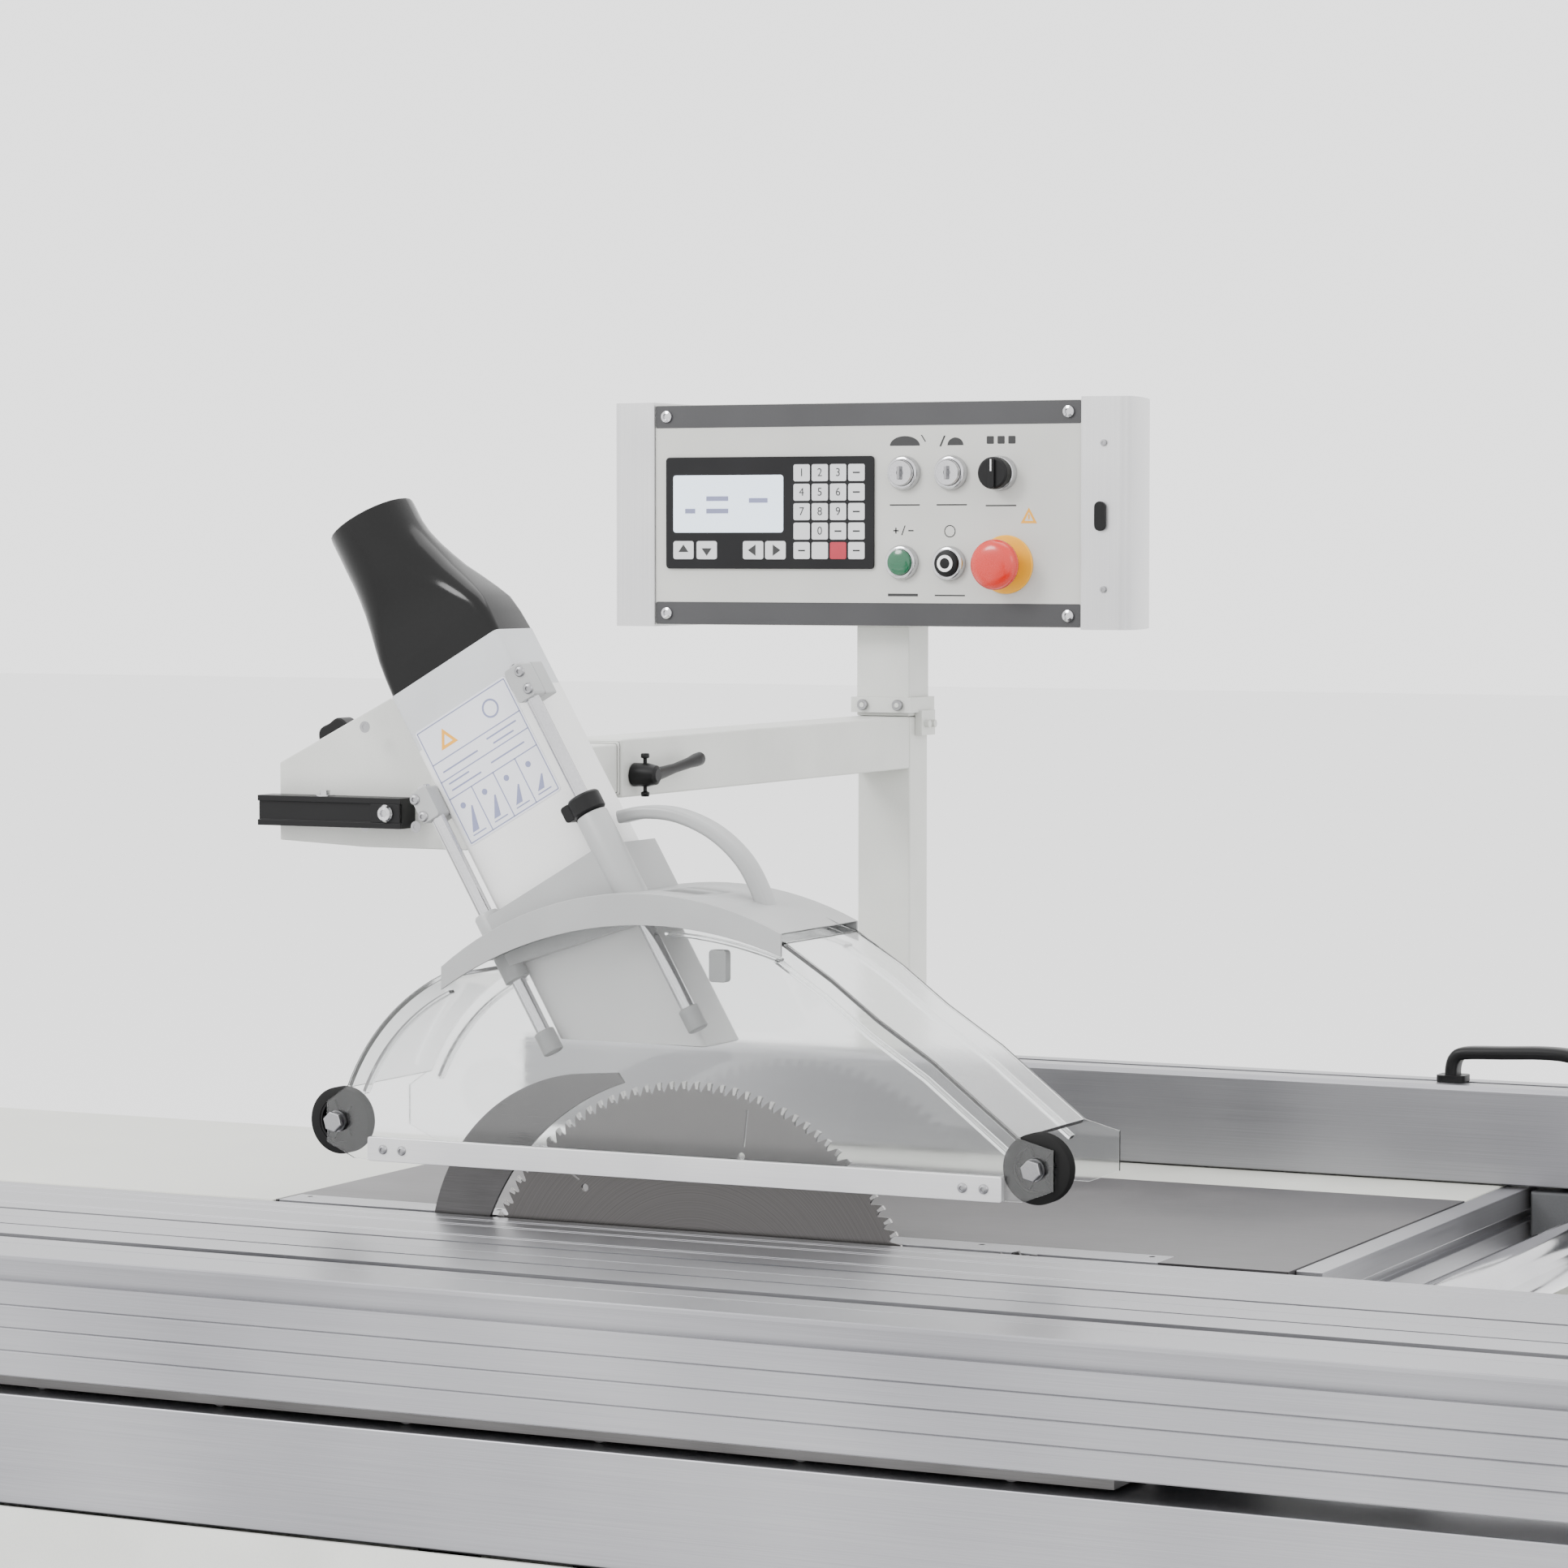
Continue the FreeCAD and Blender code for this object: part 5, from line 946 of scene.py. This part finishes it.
def roller_pieces():
    for side, (x, z) in zip(("left", "right"), ROLLERS):
        low, high = span("hold_down_roller_" + side)
        wide = high.y - low.y
        grooves = [(1.0 + n * (wide - 2) / 8) for n in range(9)]
        tread = [point for y in grooves[:-1] for point in ((27.9, y - 0.45), (27.0, y + 0.35))]
        tyre = [(19.5, 0), (26.5, 0)] + tread + [(27.9, grooves[-1]), (26.5, wide), (19.5, wide)]
        make("roller_tyre_" + side, [tube(tyre, 19.5, (x, low.y, z), BACK, 64, 0.2)], "roller_" + side, tyre_rubber,
            0, ["hold_down_roller_" + side])
        spokes = [prism([[(x + r * cos(a + turn), z + r * sin(a + turn))
                for r, turn in ((8, -0.3), (19, -0.16), (19, 0.16), (8, 0.3))]], (low.y + 2, high.y - 2))
            for a in (TURN * n / 6 for n in range(6))]
        hub = tube([(9, 0), (9.4, 0.6), (9.4, wide - 0.6), (9, wide)], 5.2, (x, low.y, z), BACK)
        rim = tube([(19.4, 0.6), (19.4, wide - 0.6)], 17.4, (x, low.y, z), BACK, 64)
        web = tube([(18, 5), (18, 8)], 6, (x, low.y, z), BACK)
        make("roller_hub_" + side, spokes + [hub, rim, web], "roller_" + side, black_nylon, 0)
    low = span("hood_bottom_bar")[0]
    bar = plate((-283, 289), (low.z, low.z + 20), 2, (HOOD_FRONT - 6.3, HOOD_FRONT - 0.3))
    make("hood_bottom_bar_extrusion", [bar], "hood", white_anodised, 0.6, ["hood_bottom_bar"])
    bolts = []
    for x, z in ROLLERS:
        bolts += [turned([(4.9, 0), (4.9, 27)], (x, HOOD_FRONT - 4, z), BACK, 20),
            hexagon(15, 4.6, (x, HOOD_FRONT - 4, z), FRONT),
            turned([(8.9, 0), (8.9, 1.4)], (x, HOOD_FRONT - 4.0 + 2.4, z), BACK, 24),
            turned([(8.9, 0), (8.9, 3)], (x, HOOD_FRONT + 18.6, z), BACK, 24)]
    bolts += [dome_screw(4.0, (x, HOOD_FRONT - 6.2, low.z + 10), FRONT) for x in (-268, -250, 256, 274)]
    make("roller_bolts", bolts, "hood", zinc)


hood_pieces()
cap_pieces()
roller_pieces()

# ---------------------------------------------------------------- control panel
face_low, face_high = span("panel_face_plate")
FACE = face_low.y
SWITCHES = {"blade_key_switch": (-292, 629), "scoring_key_switch": (-239, 629), "mode_knob": (-184, 628),
    "start_button": (-294, 537), "stop_button": (-241, 536), "emergency_stop": (-178, 535)}


def on_face(out, thick, *loops):
    """A printed or raised flat on the panel: out is how far its back stands off the face."""
    return prism(loops, (FACE - out - thick, FACE - out))


def printed(*loops):
    return on_face(0.02, 0.15, *loops)


def panel_pieces():
    eased("panel_housing", powder_light, 1.5)
    low, high = span("panel_side_profiles")
    half = [(0, 1.5), (3, 0.5), (37, 5), (40, 4), (46, 5.5), (49.5, 9.5), (50.2, 16), (49.6, 30), (45, 58), (37, 88),
        (26, high.y - low.y), (0, high.y - low.y)]
    right = [(face_high.x + 0.3 + d, low.y + y) for d, y in half]
    left = [(face_low.x - 0.3 - d, low.y + y) for d, y in half]
    make("panel_side_extrusions", [prism([right], (low.z, high.z), "xy"), prism([left], (low.z, high.z), "xy")],
        "panel", anodised_z, 0.0, ["panel_side_profiles"], 40)
    eased("panel_face_plate", panel_face, 0.3)
    x = (face_low.x + 0.5, face_high.x - 0.5)
    strips = [on_face(0.02, 0.5, rounded(x, z, 2))
        for z in ((face_low.z + 0.5, face_low.z + 24), (face_high.z - 24, face_high.z - 0.5))]
    make("panel_dark_strips", strips, "panel", strip_grey, 0.15)
    corners = [(x, z) for z in (face_high.z - 12, face_low.z + 12) for x in (face_low.x + 14, face_high.x - 14)]
    house_low, house_high = span("panel_housing")
    back = house_high.y
    middle = (house_low.x + house_high.x) / 2
    # Dark vent slots on the back: painted shade for the dark housing inside, seen through the vents.
    vent_shade_slots = [plate((middle + dx - 32, middle + dx + 32), (z, z + 5), 2.4, (back + 1.42, back + 1.8))
        for dx in (-150, 150) for z in range(600, 661, 12)]
    make("panel_back_vent_painted_shade", vent_shade_slots, "panel", dark_print_and_shade)
    cover = plate((house_low.x + 18, house_high.x - 18), (house_low.z + 16, house_high.z - 16), 8,
        (back + 0.02, back + 1.4))
    make("panel_back_cover", [cover], "panel", powder_light, 0.5)
    make("panel_back_screws", [dome_screw(5, (x, back + 1.4, z), BACK) for x in (house_low.x + 30, house_high.x - 30)
            for z in (house_low.z + 28, house_high.z - 28)], "panel", zinc)
    make("panel_screws", [turned([(6.6, 0), (6.6, 1), (6, 2.4), (3.4, 3.2), (3.1, 1.2), (0, 1.2)],
            (sx, FACE - 0.5, sz), FRONT, 24) for sx, sz in corners], "panel", chrome)
    middle = face_high.x + 21
    plug = plate((middle - 6, middle + 6), (569, 599), 5.8, (low.y - 0.4, low.y + 4))
    dots = [turned([(3.4, 0), (3.2, 0.8), (1.6, 0.9), (1.5, 0.3), (0, 0.3)], (middle + 3, low.y + 2.6, sz), FRONT, 18)
        for sz in (658, 510)]
    make("profile_plug", [plug], "panel", black_nylon, 0.5)
    make("profile_screws", dots, "panel", zinc)


def display_pieces():
    low, high = span("display_module")
    front = low.y
    make("display_front", [plate((low.x, high.x), (low.z, high.z), 4, (low.y, high.y))], "panel", display_black, 0.5,
        ["display_module"])
    lift = FACE - front - 0.02
    make("crystal_window", [on_face(lift, 0.3, rounded((-559, -430), (568, 628), 3))], "panel", crystal)
    read_out = [on_face(lift + 0.3, 0.06, rect((a, a + w), (z, z + 5)))
        for a, z, w in ((-520, 601, 26), (-470, 599, 22), (-520, 588, 26), (-545, 588, 12))]
    make("crystal_segments", read_out, "panel", label_ink)
    keys = [on_face(lift, 0.5, rounded((a, a + 24), (540, 559), 2.5)) for a in (-559, -531.5, -477, -451)]
    columns = [-408.5, -387.5, -366.5, -345.5]
    rows = [629.9, 609.7, 589.5, 569.3, 549.1]
    stop_key = (columns[2], rows[4])
    pads = {(a, z): on_face(lift, 0.5, rounded((a - 9.4, a + 9.4), (z - 8.8, z + 8.8), 2)) for z in rows
        for a in columns}
    keys += [pad for place, pad in pads.items() if place != stop_key]
    make("display_keys", keys, "panel", key_white, 0.2)
    make("display_stop_key", [pads[stop_key]], "panel", key_red, 0.2)
    arrows = ((-547, ((-6, -2), (6, -2), (0, 6))), (-519.5, ((-6, 2), (0, -6), (6, 2))),
        (-465, ((3, -6), (3, 6), (-6, 0))), (-439, ((-3, -6), (6, 0), (-3, 6))))
    make("arrow_marks", [on_face(lift + 0.5, 0.1, [(a + dx, 549.5 + dz) for dx, dz in shape]) for a, shape in arrows],
        "panel", dark_print_and_shade)
    digits = [(letter, a, z) for z, row in zip(rows, ("123", "456", "789", " 0 ")) for a, letter in zip(columns, row)
        if letter != " "]
    key_digits(digits, front - 0.55)
    others = [on_face(lift + 0.5, 0.1, rect((a - 4, a + 4), (z - 0.8, z + 0.8)))
        for a, z in [(columns[3], z) for z in rows] + [(columns[0], rows[4]), (columns[2], rows[3])]]
    make("key_marks", others, "panel", dark_print_and_shade)


def key_digits(digits, y):
    """The numbers 0 to 9 printed on the keys."""
    joined = bpy.data.meshes.new("key_numbers")
    points, faces = [], []
    for letter, x, z in digits:
        curve = bpy.data.curves.new("number", "FONT")
        curve.body = letter
        curve.size = 12 * MM
        curve.align_x = "CENTER"
        curve.align_y = "CENTER"
        curve.extrude = 0.05 * MM
        holder = bpy.data.objects.new("number", curve)
        flat = bpy.data.meshes.new_from_object(holder)
        first = len(points)
        points += [Vector((v.co.x, -v.co.z, v.co.y)) + at(x, y, z) for v in flat.vertices]
        faces += [tuple(i + first for i in p.vertices) for p in flat.polygons]
        bpy.data.objects.remove(holder)
        bpy.data.curves.remove(curve)
        bpy.data.meshes.remove(flat)
    joined.from_pydata(points, [], faces)
    put("key_numbers", joined, "panel", dark_print_and_shade, 0, (), 32)


def switch_pieces():
    bezels = [tube([(17.9, 0), (17.9, 4.6), (16.4, 7.4), (15, 8)], 13.9, (x, FACE - 0.3, z), FRONT, 48)
        for name, (x, z) in SWITCHES.items() if name != "emergency_stop"]
    make("switch_collars", bezels, "panel", chrome, 0, ["button_bezels"])
    x, z = SWITCHES["emergency_stop"]
    make("stop_collar", [tube([(30, 0), (30, 1.2), (29, 1.9)], 13.9, (x, FACE - 0.4, z), FRONT, 56)], "panel",
        collar_yellow)
    def raised(profile, back, steps):
        """A turned shape whose base lies back behind the face, at the switch in hand."""
        return turned(profile, (x, FACE + back, z), FRONT, steps)

    stem = [(9.9, 0), (9.9, 41)]
    for name, body in (("blade_key_switch", "blade_key"), ("scoring_key_switch", "scoring_key")):
        x, z = SWITCHES[name]
        barrel = raised([(13.4, 0), (13.4, 6.4), (12.4, 8), (4, 8), (3.8, 7), (0, 7)], -5, 48)
        grip = plate((x - 1.5, x + 1.5), (z - 7, z + 7), 1.2, (FACE - 17.5, FACE - 12))
        make(name + "_barrel", [barrel, raised(stem, 36, 32)], body, chrome, 0, [name])
        make(name + "_key", [grip], body, zinc, 0.6)
    x, z = SWITCHES["mode_knob"]
    dial = raised([(13.4, 0), (13.4, 6), (16.4, 6.4), (16.4, 17), (14.6, 18.6), (0, 18.6)], -5, 48)
    bar = plate((x - 3.4, x + 3.4), (z - 15.6, z + 15.6), 3, (FACE - 26.8, FACE - 22))
    make("mode_dial_knob", [dial, bar, raised(stem, 36, 32)], "mode_dial", knob_black, 0.6, ["mode_knob"])
    make("mode_dial_line", [slab((x - 0.7, x + 0.7), (z + 2, z + 14), (FACE - 26.95, FACE - 26.82))], "mode_dial",
        white_ink)
    for name, body, lens in (("start_button", "start", lens_green), ("stop_button", "stop", knob_black)):
        x, z = SWITCHES[name]
        make(name + "_lens", [turned([(13.3, 0), (13.3, 5), (12.6, 6.4), (10, 7.4), (5, 8), (0, 8)], (x, FACE - 5, z),
                FRONT, 48), raised(stem, 36, 32)], body, lens, 0, [name])
    x, z = SWITCHES["stop_button"]
    make("stop_button_ring", [tube([(8.6, 0), (8.6, 1.2)], 5.6, (x, FACE - 12.2, z), FRONT, 40)], "stop", white_ink)
    x, z = SWITCHES["emergency_stop"]
    neck = raised([(12, 0), (12, 12), (14.5, 14)], -5, 40)
    head = turned([(13, 0), (23.6, 0.6), (25.6, 3), (25.8, 7), (24.6, 10.6), (21, 13.8), (15, 15.6), (7, 16),
            (0, 16)], (x, FACE - 24, z), FRONT, 64)
    make("emergency_mushroom", [neck, head, raised(stem, 36, 32)], "e_stop", mushroom_red, 0, ["emergency_stop"], 50)


def panel_prints():
    """Plain marks by the switches: saw outlines, squares, bars and a warning triangle."""
    bars = [((x - 17, x + 17), (z - 33.6, z - 32.2)) for name, (x, z) in SWITCHES.items() if name != "emergency_stop"]
    bars.append(((-311, -277), (502, 503.4)))
    discs = [[(x + r * cos(pi * n / 16), 657 + rise * sin(pi * n / 16)) for n in range(17)]
        for x, r, rise in ((-292, 17, 10), (-235, 9, 8))]
    loops = [rect(*b) for b in bars] + discs
    loops += [[(-253, 656), (-251, 656), (-246, 667), (-248, 667)],
        [(-274, 668), (-272.6, 668), (-268, 661), (-269.4, 661)]]
    loops += [rounded((x - 4, x + 4), (658, 666), 1) for x in (-196, -184, -172)]
    marks = [printed(loop) for loop in loops] + [printed(circle(-241, 569, 6.4, 32), circle(-241, 569, 5.4, 32))]
    marks += [printed(rect(a, b)) for a, b in (((-305, -299), (569, 570.4)), ((-302.7, -301.3), (566.7, 572.7)),
            ((-288, -282), (569, 570.4)))]
    marks.append(printed([(-296, 565), (-294.8, 565), (-291, 575), (-292.2, 575)]))
    make("panel_prints", marks, "panel", dark_print_and_shade)
    triangle = printed([(-162, 577), (-144, 577), (-153, 593)], [(-158, 579.4), (-148, 579.4), (-153, 588.6)])
    make("warning_triangle", [triangle, printed(rect((-153.8, -152.2), (581, 586)))], "panel", amber_ink)


panel_pieces()
display_pieces()
switch_pieces()
panel_prints()


# ---------------------------------------------------------------- base
def base_pieces():
    eased("base_cabinet", powder_cabinet, 2.0)
    eased("service_door", powder_cabinet, 0.8)
    eased("mains_switch_box", powder_cabinet, 3.0)
    low, high = span("base_cabinet")
    back = high.y + 0.05
    panel = rounded((low.x + 60, high.x - 60), (low.z + 60, -150), 12)
    make("rear_cover", [prism([panel], (back, back + 1.6))], "base", powder_cabinet, 0.5)
    vents = [(x, -330 - row * 30) for x in (low.x + 300, high.x - 300) for row in range(9)]
    louvres = [skin([[(x + dx, back + 1.5, z + dz) for dx, dz in ((-95, 0), (95, 0), (95, 15), (-95, 15))],
            [(x + dx, back + 6, z + dz) for dx, dz in ((-90, 1), (90, 1), (90, 3), (-90, 3))]]) for x, z in vents]
    make("rear_louvres", louvres, "base", powder_cabinet, 0.8)
    # Dark strips under the louvres: painted shade for the dark cabinet inside, seen through the openings.
    shaded_gaps = [plate((x - 88, x + 88), (z - 4.5, z - 1), 1.6, (back + 1.65, back + 1.9)) for x, z in vents]
    make("louvre_gap_painted_shade", shaded_gaps, "base", dark_print_and_shade)
    screws = [dome_screw(6, (x, back + 1.6, z), BACK) for x in (low.x + 80, (low.x + high.x) / 2, high.x - 80)
        for z in (low.z + 82, -172)]
    screws += [dome_screw(5, (high.x, y, z), RIGHT) for y in (-150, 180, 420) for z in (low.z + 40, -160)]
    make("cabinet_screws", screws, "base", zinc)
    # Dark lines along the plinth folds, front and back: painted shade in the creases of the folded sheet.
    fold_shade_strips = [slab((low.x + 12, high.x - 12), (low.z + 26, low.z + 28.4), depth)
        for depth in ((low.y - 0.9, low.y - 0.05), (high.y + 0.05, high.y + 0.9))]
    make("cabinet_fold_painted_shade", fold_shade_strips, "base", dark_paint)
    door_low, door_high = span("service_door")
    ribs = [plate((-250, 150), (z, z + 10), 4, (door_low.y + 19.0, door_low.y + 20.4)) for z in (-430, -560, -690)]
    make("door_pressed_ribs", ribs, "door", powder_cabinet, 0.6)
    sleeve = plate((door_high.x - 61, door_high.x - 29), (-583, -517), 3, (door_low.y, door_low.y + 8.4))
    make("door_handle_sleeve", [sleeve], "door", black_nylon, 2.5)
    feet = []
    (left, front, floor), (right, rear, _) = span("levelling_feet")
    for x in (left + 40, right - 40):
        for y in (front + 40, rear - 40):
            feet += [turned([(38, 0), (40, 2), (40, 6), (34, 10), (16, 13.8), (9, 13.8), (9, 28), (0, 28)],
                    (x, y, floor), UP, 40), hexagon(22, 7, (x, y, floor + 21), UP)]
    make("levelling_feet_turned", feet, "base", zinc, 0, ["levelling_feet"])
    port_low, port_high = span("dust_port")
    _, y, z = mid_of("dust_port")
    wide = port_high.x - port_low.x
    outer = [(78, 0), (78, 3.4), (62, 4), (60, 6), (60, wide - 12), (61.4, wide - 9), (60, wide - 6),
        (60, wide - 0.6), (59.2, wide)]
    make("dust_port_spigot", [tube(outer, 57, (port_high.x, y, z), LEFT, 64)], "base", powder_cabinet, 0,
        ["dust_port"], 40)
    ring_bolts = [hexagon(8, 3.4, (port_high.x - 3.6, y + 70 * cos(a), z + 70 * sin(a)), LEFT)
        for a in (pi / 4 + pi / 2 * n for n in range(4))]
    make("dust_port_bolts", ring_bolts, "base", zinc)


def mains_pieces():
    back = span("mains_switch_knob")[0].x
    _, y, z = mid_of("mains_switch_knob")
    x = back + 15
    dial = turned([(24, 0), (26, 1), (26, 6), (24, 8), (0, 8)], (x, y, z), RIGHT, 48)
    grip = skin([[(x + d, y + w * a, z + 24 * k * b) for a, b in ((-1, -1), (1, -1), (1, 1), (-1, 1))]
            for d, w, k in ((6, 8, 1.0), (16, 6.4, 0.98), (25.6, 5.2, 0.9))])
    make("mains_dial", [dial, grip, turned([(4.9, 0), (4.9, 20)], (back, y, z), RIGHT, 24)], "mains_knob",
        mushroom_red, 0.8, ["mains_switch_knob"])
    box_right = span("mains_switch_box")[1].x
    make("mains_switch_plate", [prism([rounded((y - 34, y + 34), (z - 34, z + 34), 6), circle(y, z, 27, 48)],
            (box_right - 0.05, box_right), "yz")], "base", collar_yellow)
    x, y, _ = mid_of("cable_gland")
    under = (x, y, span("cable_gland")[1].z)
    nut = tube([(14, 0), (15.8, 1), (15.8, 9), (14, 10)], 7, under, DOWN, 6)
    dome = tube([(12, 10.2), (12, 20), (10.5, 24), (8.2, 26)], 7, under, DOWN, 36)
    make("cable_gland_pieces", [nut, dome], "base", black_nylon, 0, ["cable_gland"])


base_pieces()
mains_pieces()

# ---------------------------------------------------------------- floor, light and camera
SKY_STRENGTH = 2.3
LIGHT_AIM = (0, 0.2, 0.9)  # metres
FLOOR_REACH = 40.0  # metres
EYE = (1729.0, -3360.0, 554.5)
YAW, PITCH = radians(26.1437), radians(2.9138)
LENS_MM = 107.63


def floor_and_light():
    mesh = bpy.data.meshes.new("floor")
    mesh.from_pydata([(x, y, 0) for x, y in rect((-FLOOR_REACH, FLOOR_REACH), (-FLOOR_REACH, FLOOR_REACH))], [],
        [(0, 1, 2, 3)])
    material, tree = start_material("pale_studio_floor")
    where = add(tree, "TexCoord")
    mottle = add(tree, "TexNoise", {"Scale": 3.0, "Detail": 2.0}, {"Vector": where.outputs["Object"]})
    gloss = add(tree, "MapRange", {"To Min": 0.7, "To Max": 0.8}, {"Value": mottle.outputs["Fac"]})
    shown(tree, {"Base Color": hexed("F2F2F2")}, {"Roughness": gloss.outputs["Result"]})
    mesh.materials.append(material)
    floor = bpy.data.objects.new("floor", mesh)
    bpy.context.scene.collection.objects.link(floor)
    world = bpy.data.worlds.new("studio")
    bpy.context.scene.world = world
    world.use_nodes = True
    sky = world.node_tree.nodes["Background"].inputs
    sky["Color"].default_value = (1.0, 1.0, 1.0, 1.0)
    sky["Strength"].default_value = SKY_STRENGTH
    for name, place, size, power in (
            ("key_light", (-2.5, -3.5, 4.2), 2.0, 190), ("fill_light", (4.0, -2.0, 3.0), 2.0, 30),
            ("top_light", (0.0, 1.0, 4.5), 3.0, 60)):
        light = bpy.data.lights.new(name, "AREA")
        light.shape = "DISK"
        light.size = size
        light.energy = power
        lamp = bpy.data.objects.new(name, light)
        lamp.location = place
        lamp.rotation_euler = (Vector(LIGHT_AIM) - Vector(place)).to_track_quat("-Z", "Y").to_euler()
        bpy.context.scene.collection.objects.link(lamp)


def main_camera():
    """Standing at the operator's end of the carriage, a little above the table, through a long lens."""
    view = Vector((-sin(YAW) * cos(PITCH), cos(YAW) * cos(PITCH), -sin(PITCH)))
    data = bpy.data.cameras.new("camera")
    data.sensor_width = 36.0
    data.lens = LENS_MM
    data.clip_end = 200.0
    camera = bpy.data.objects.new("camera", data)
    camera.location = at(*EYE)
    camera.rotation_euler = view.to_track_quat("-Z", "Y").to_euler()
    bpy.context.scene.collection.objects.link(camera)
    bpy.context.scene.camera = camera


floor_and_light()
main_camera()
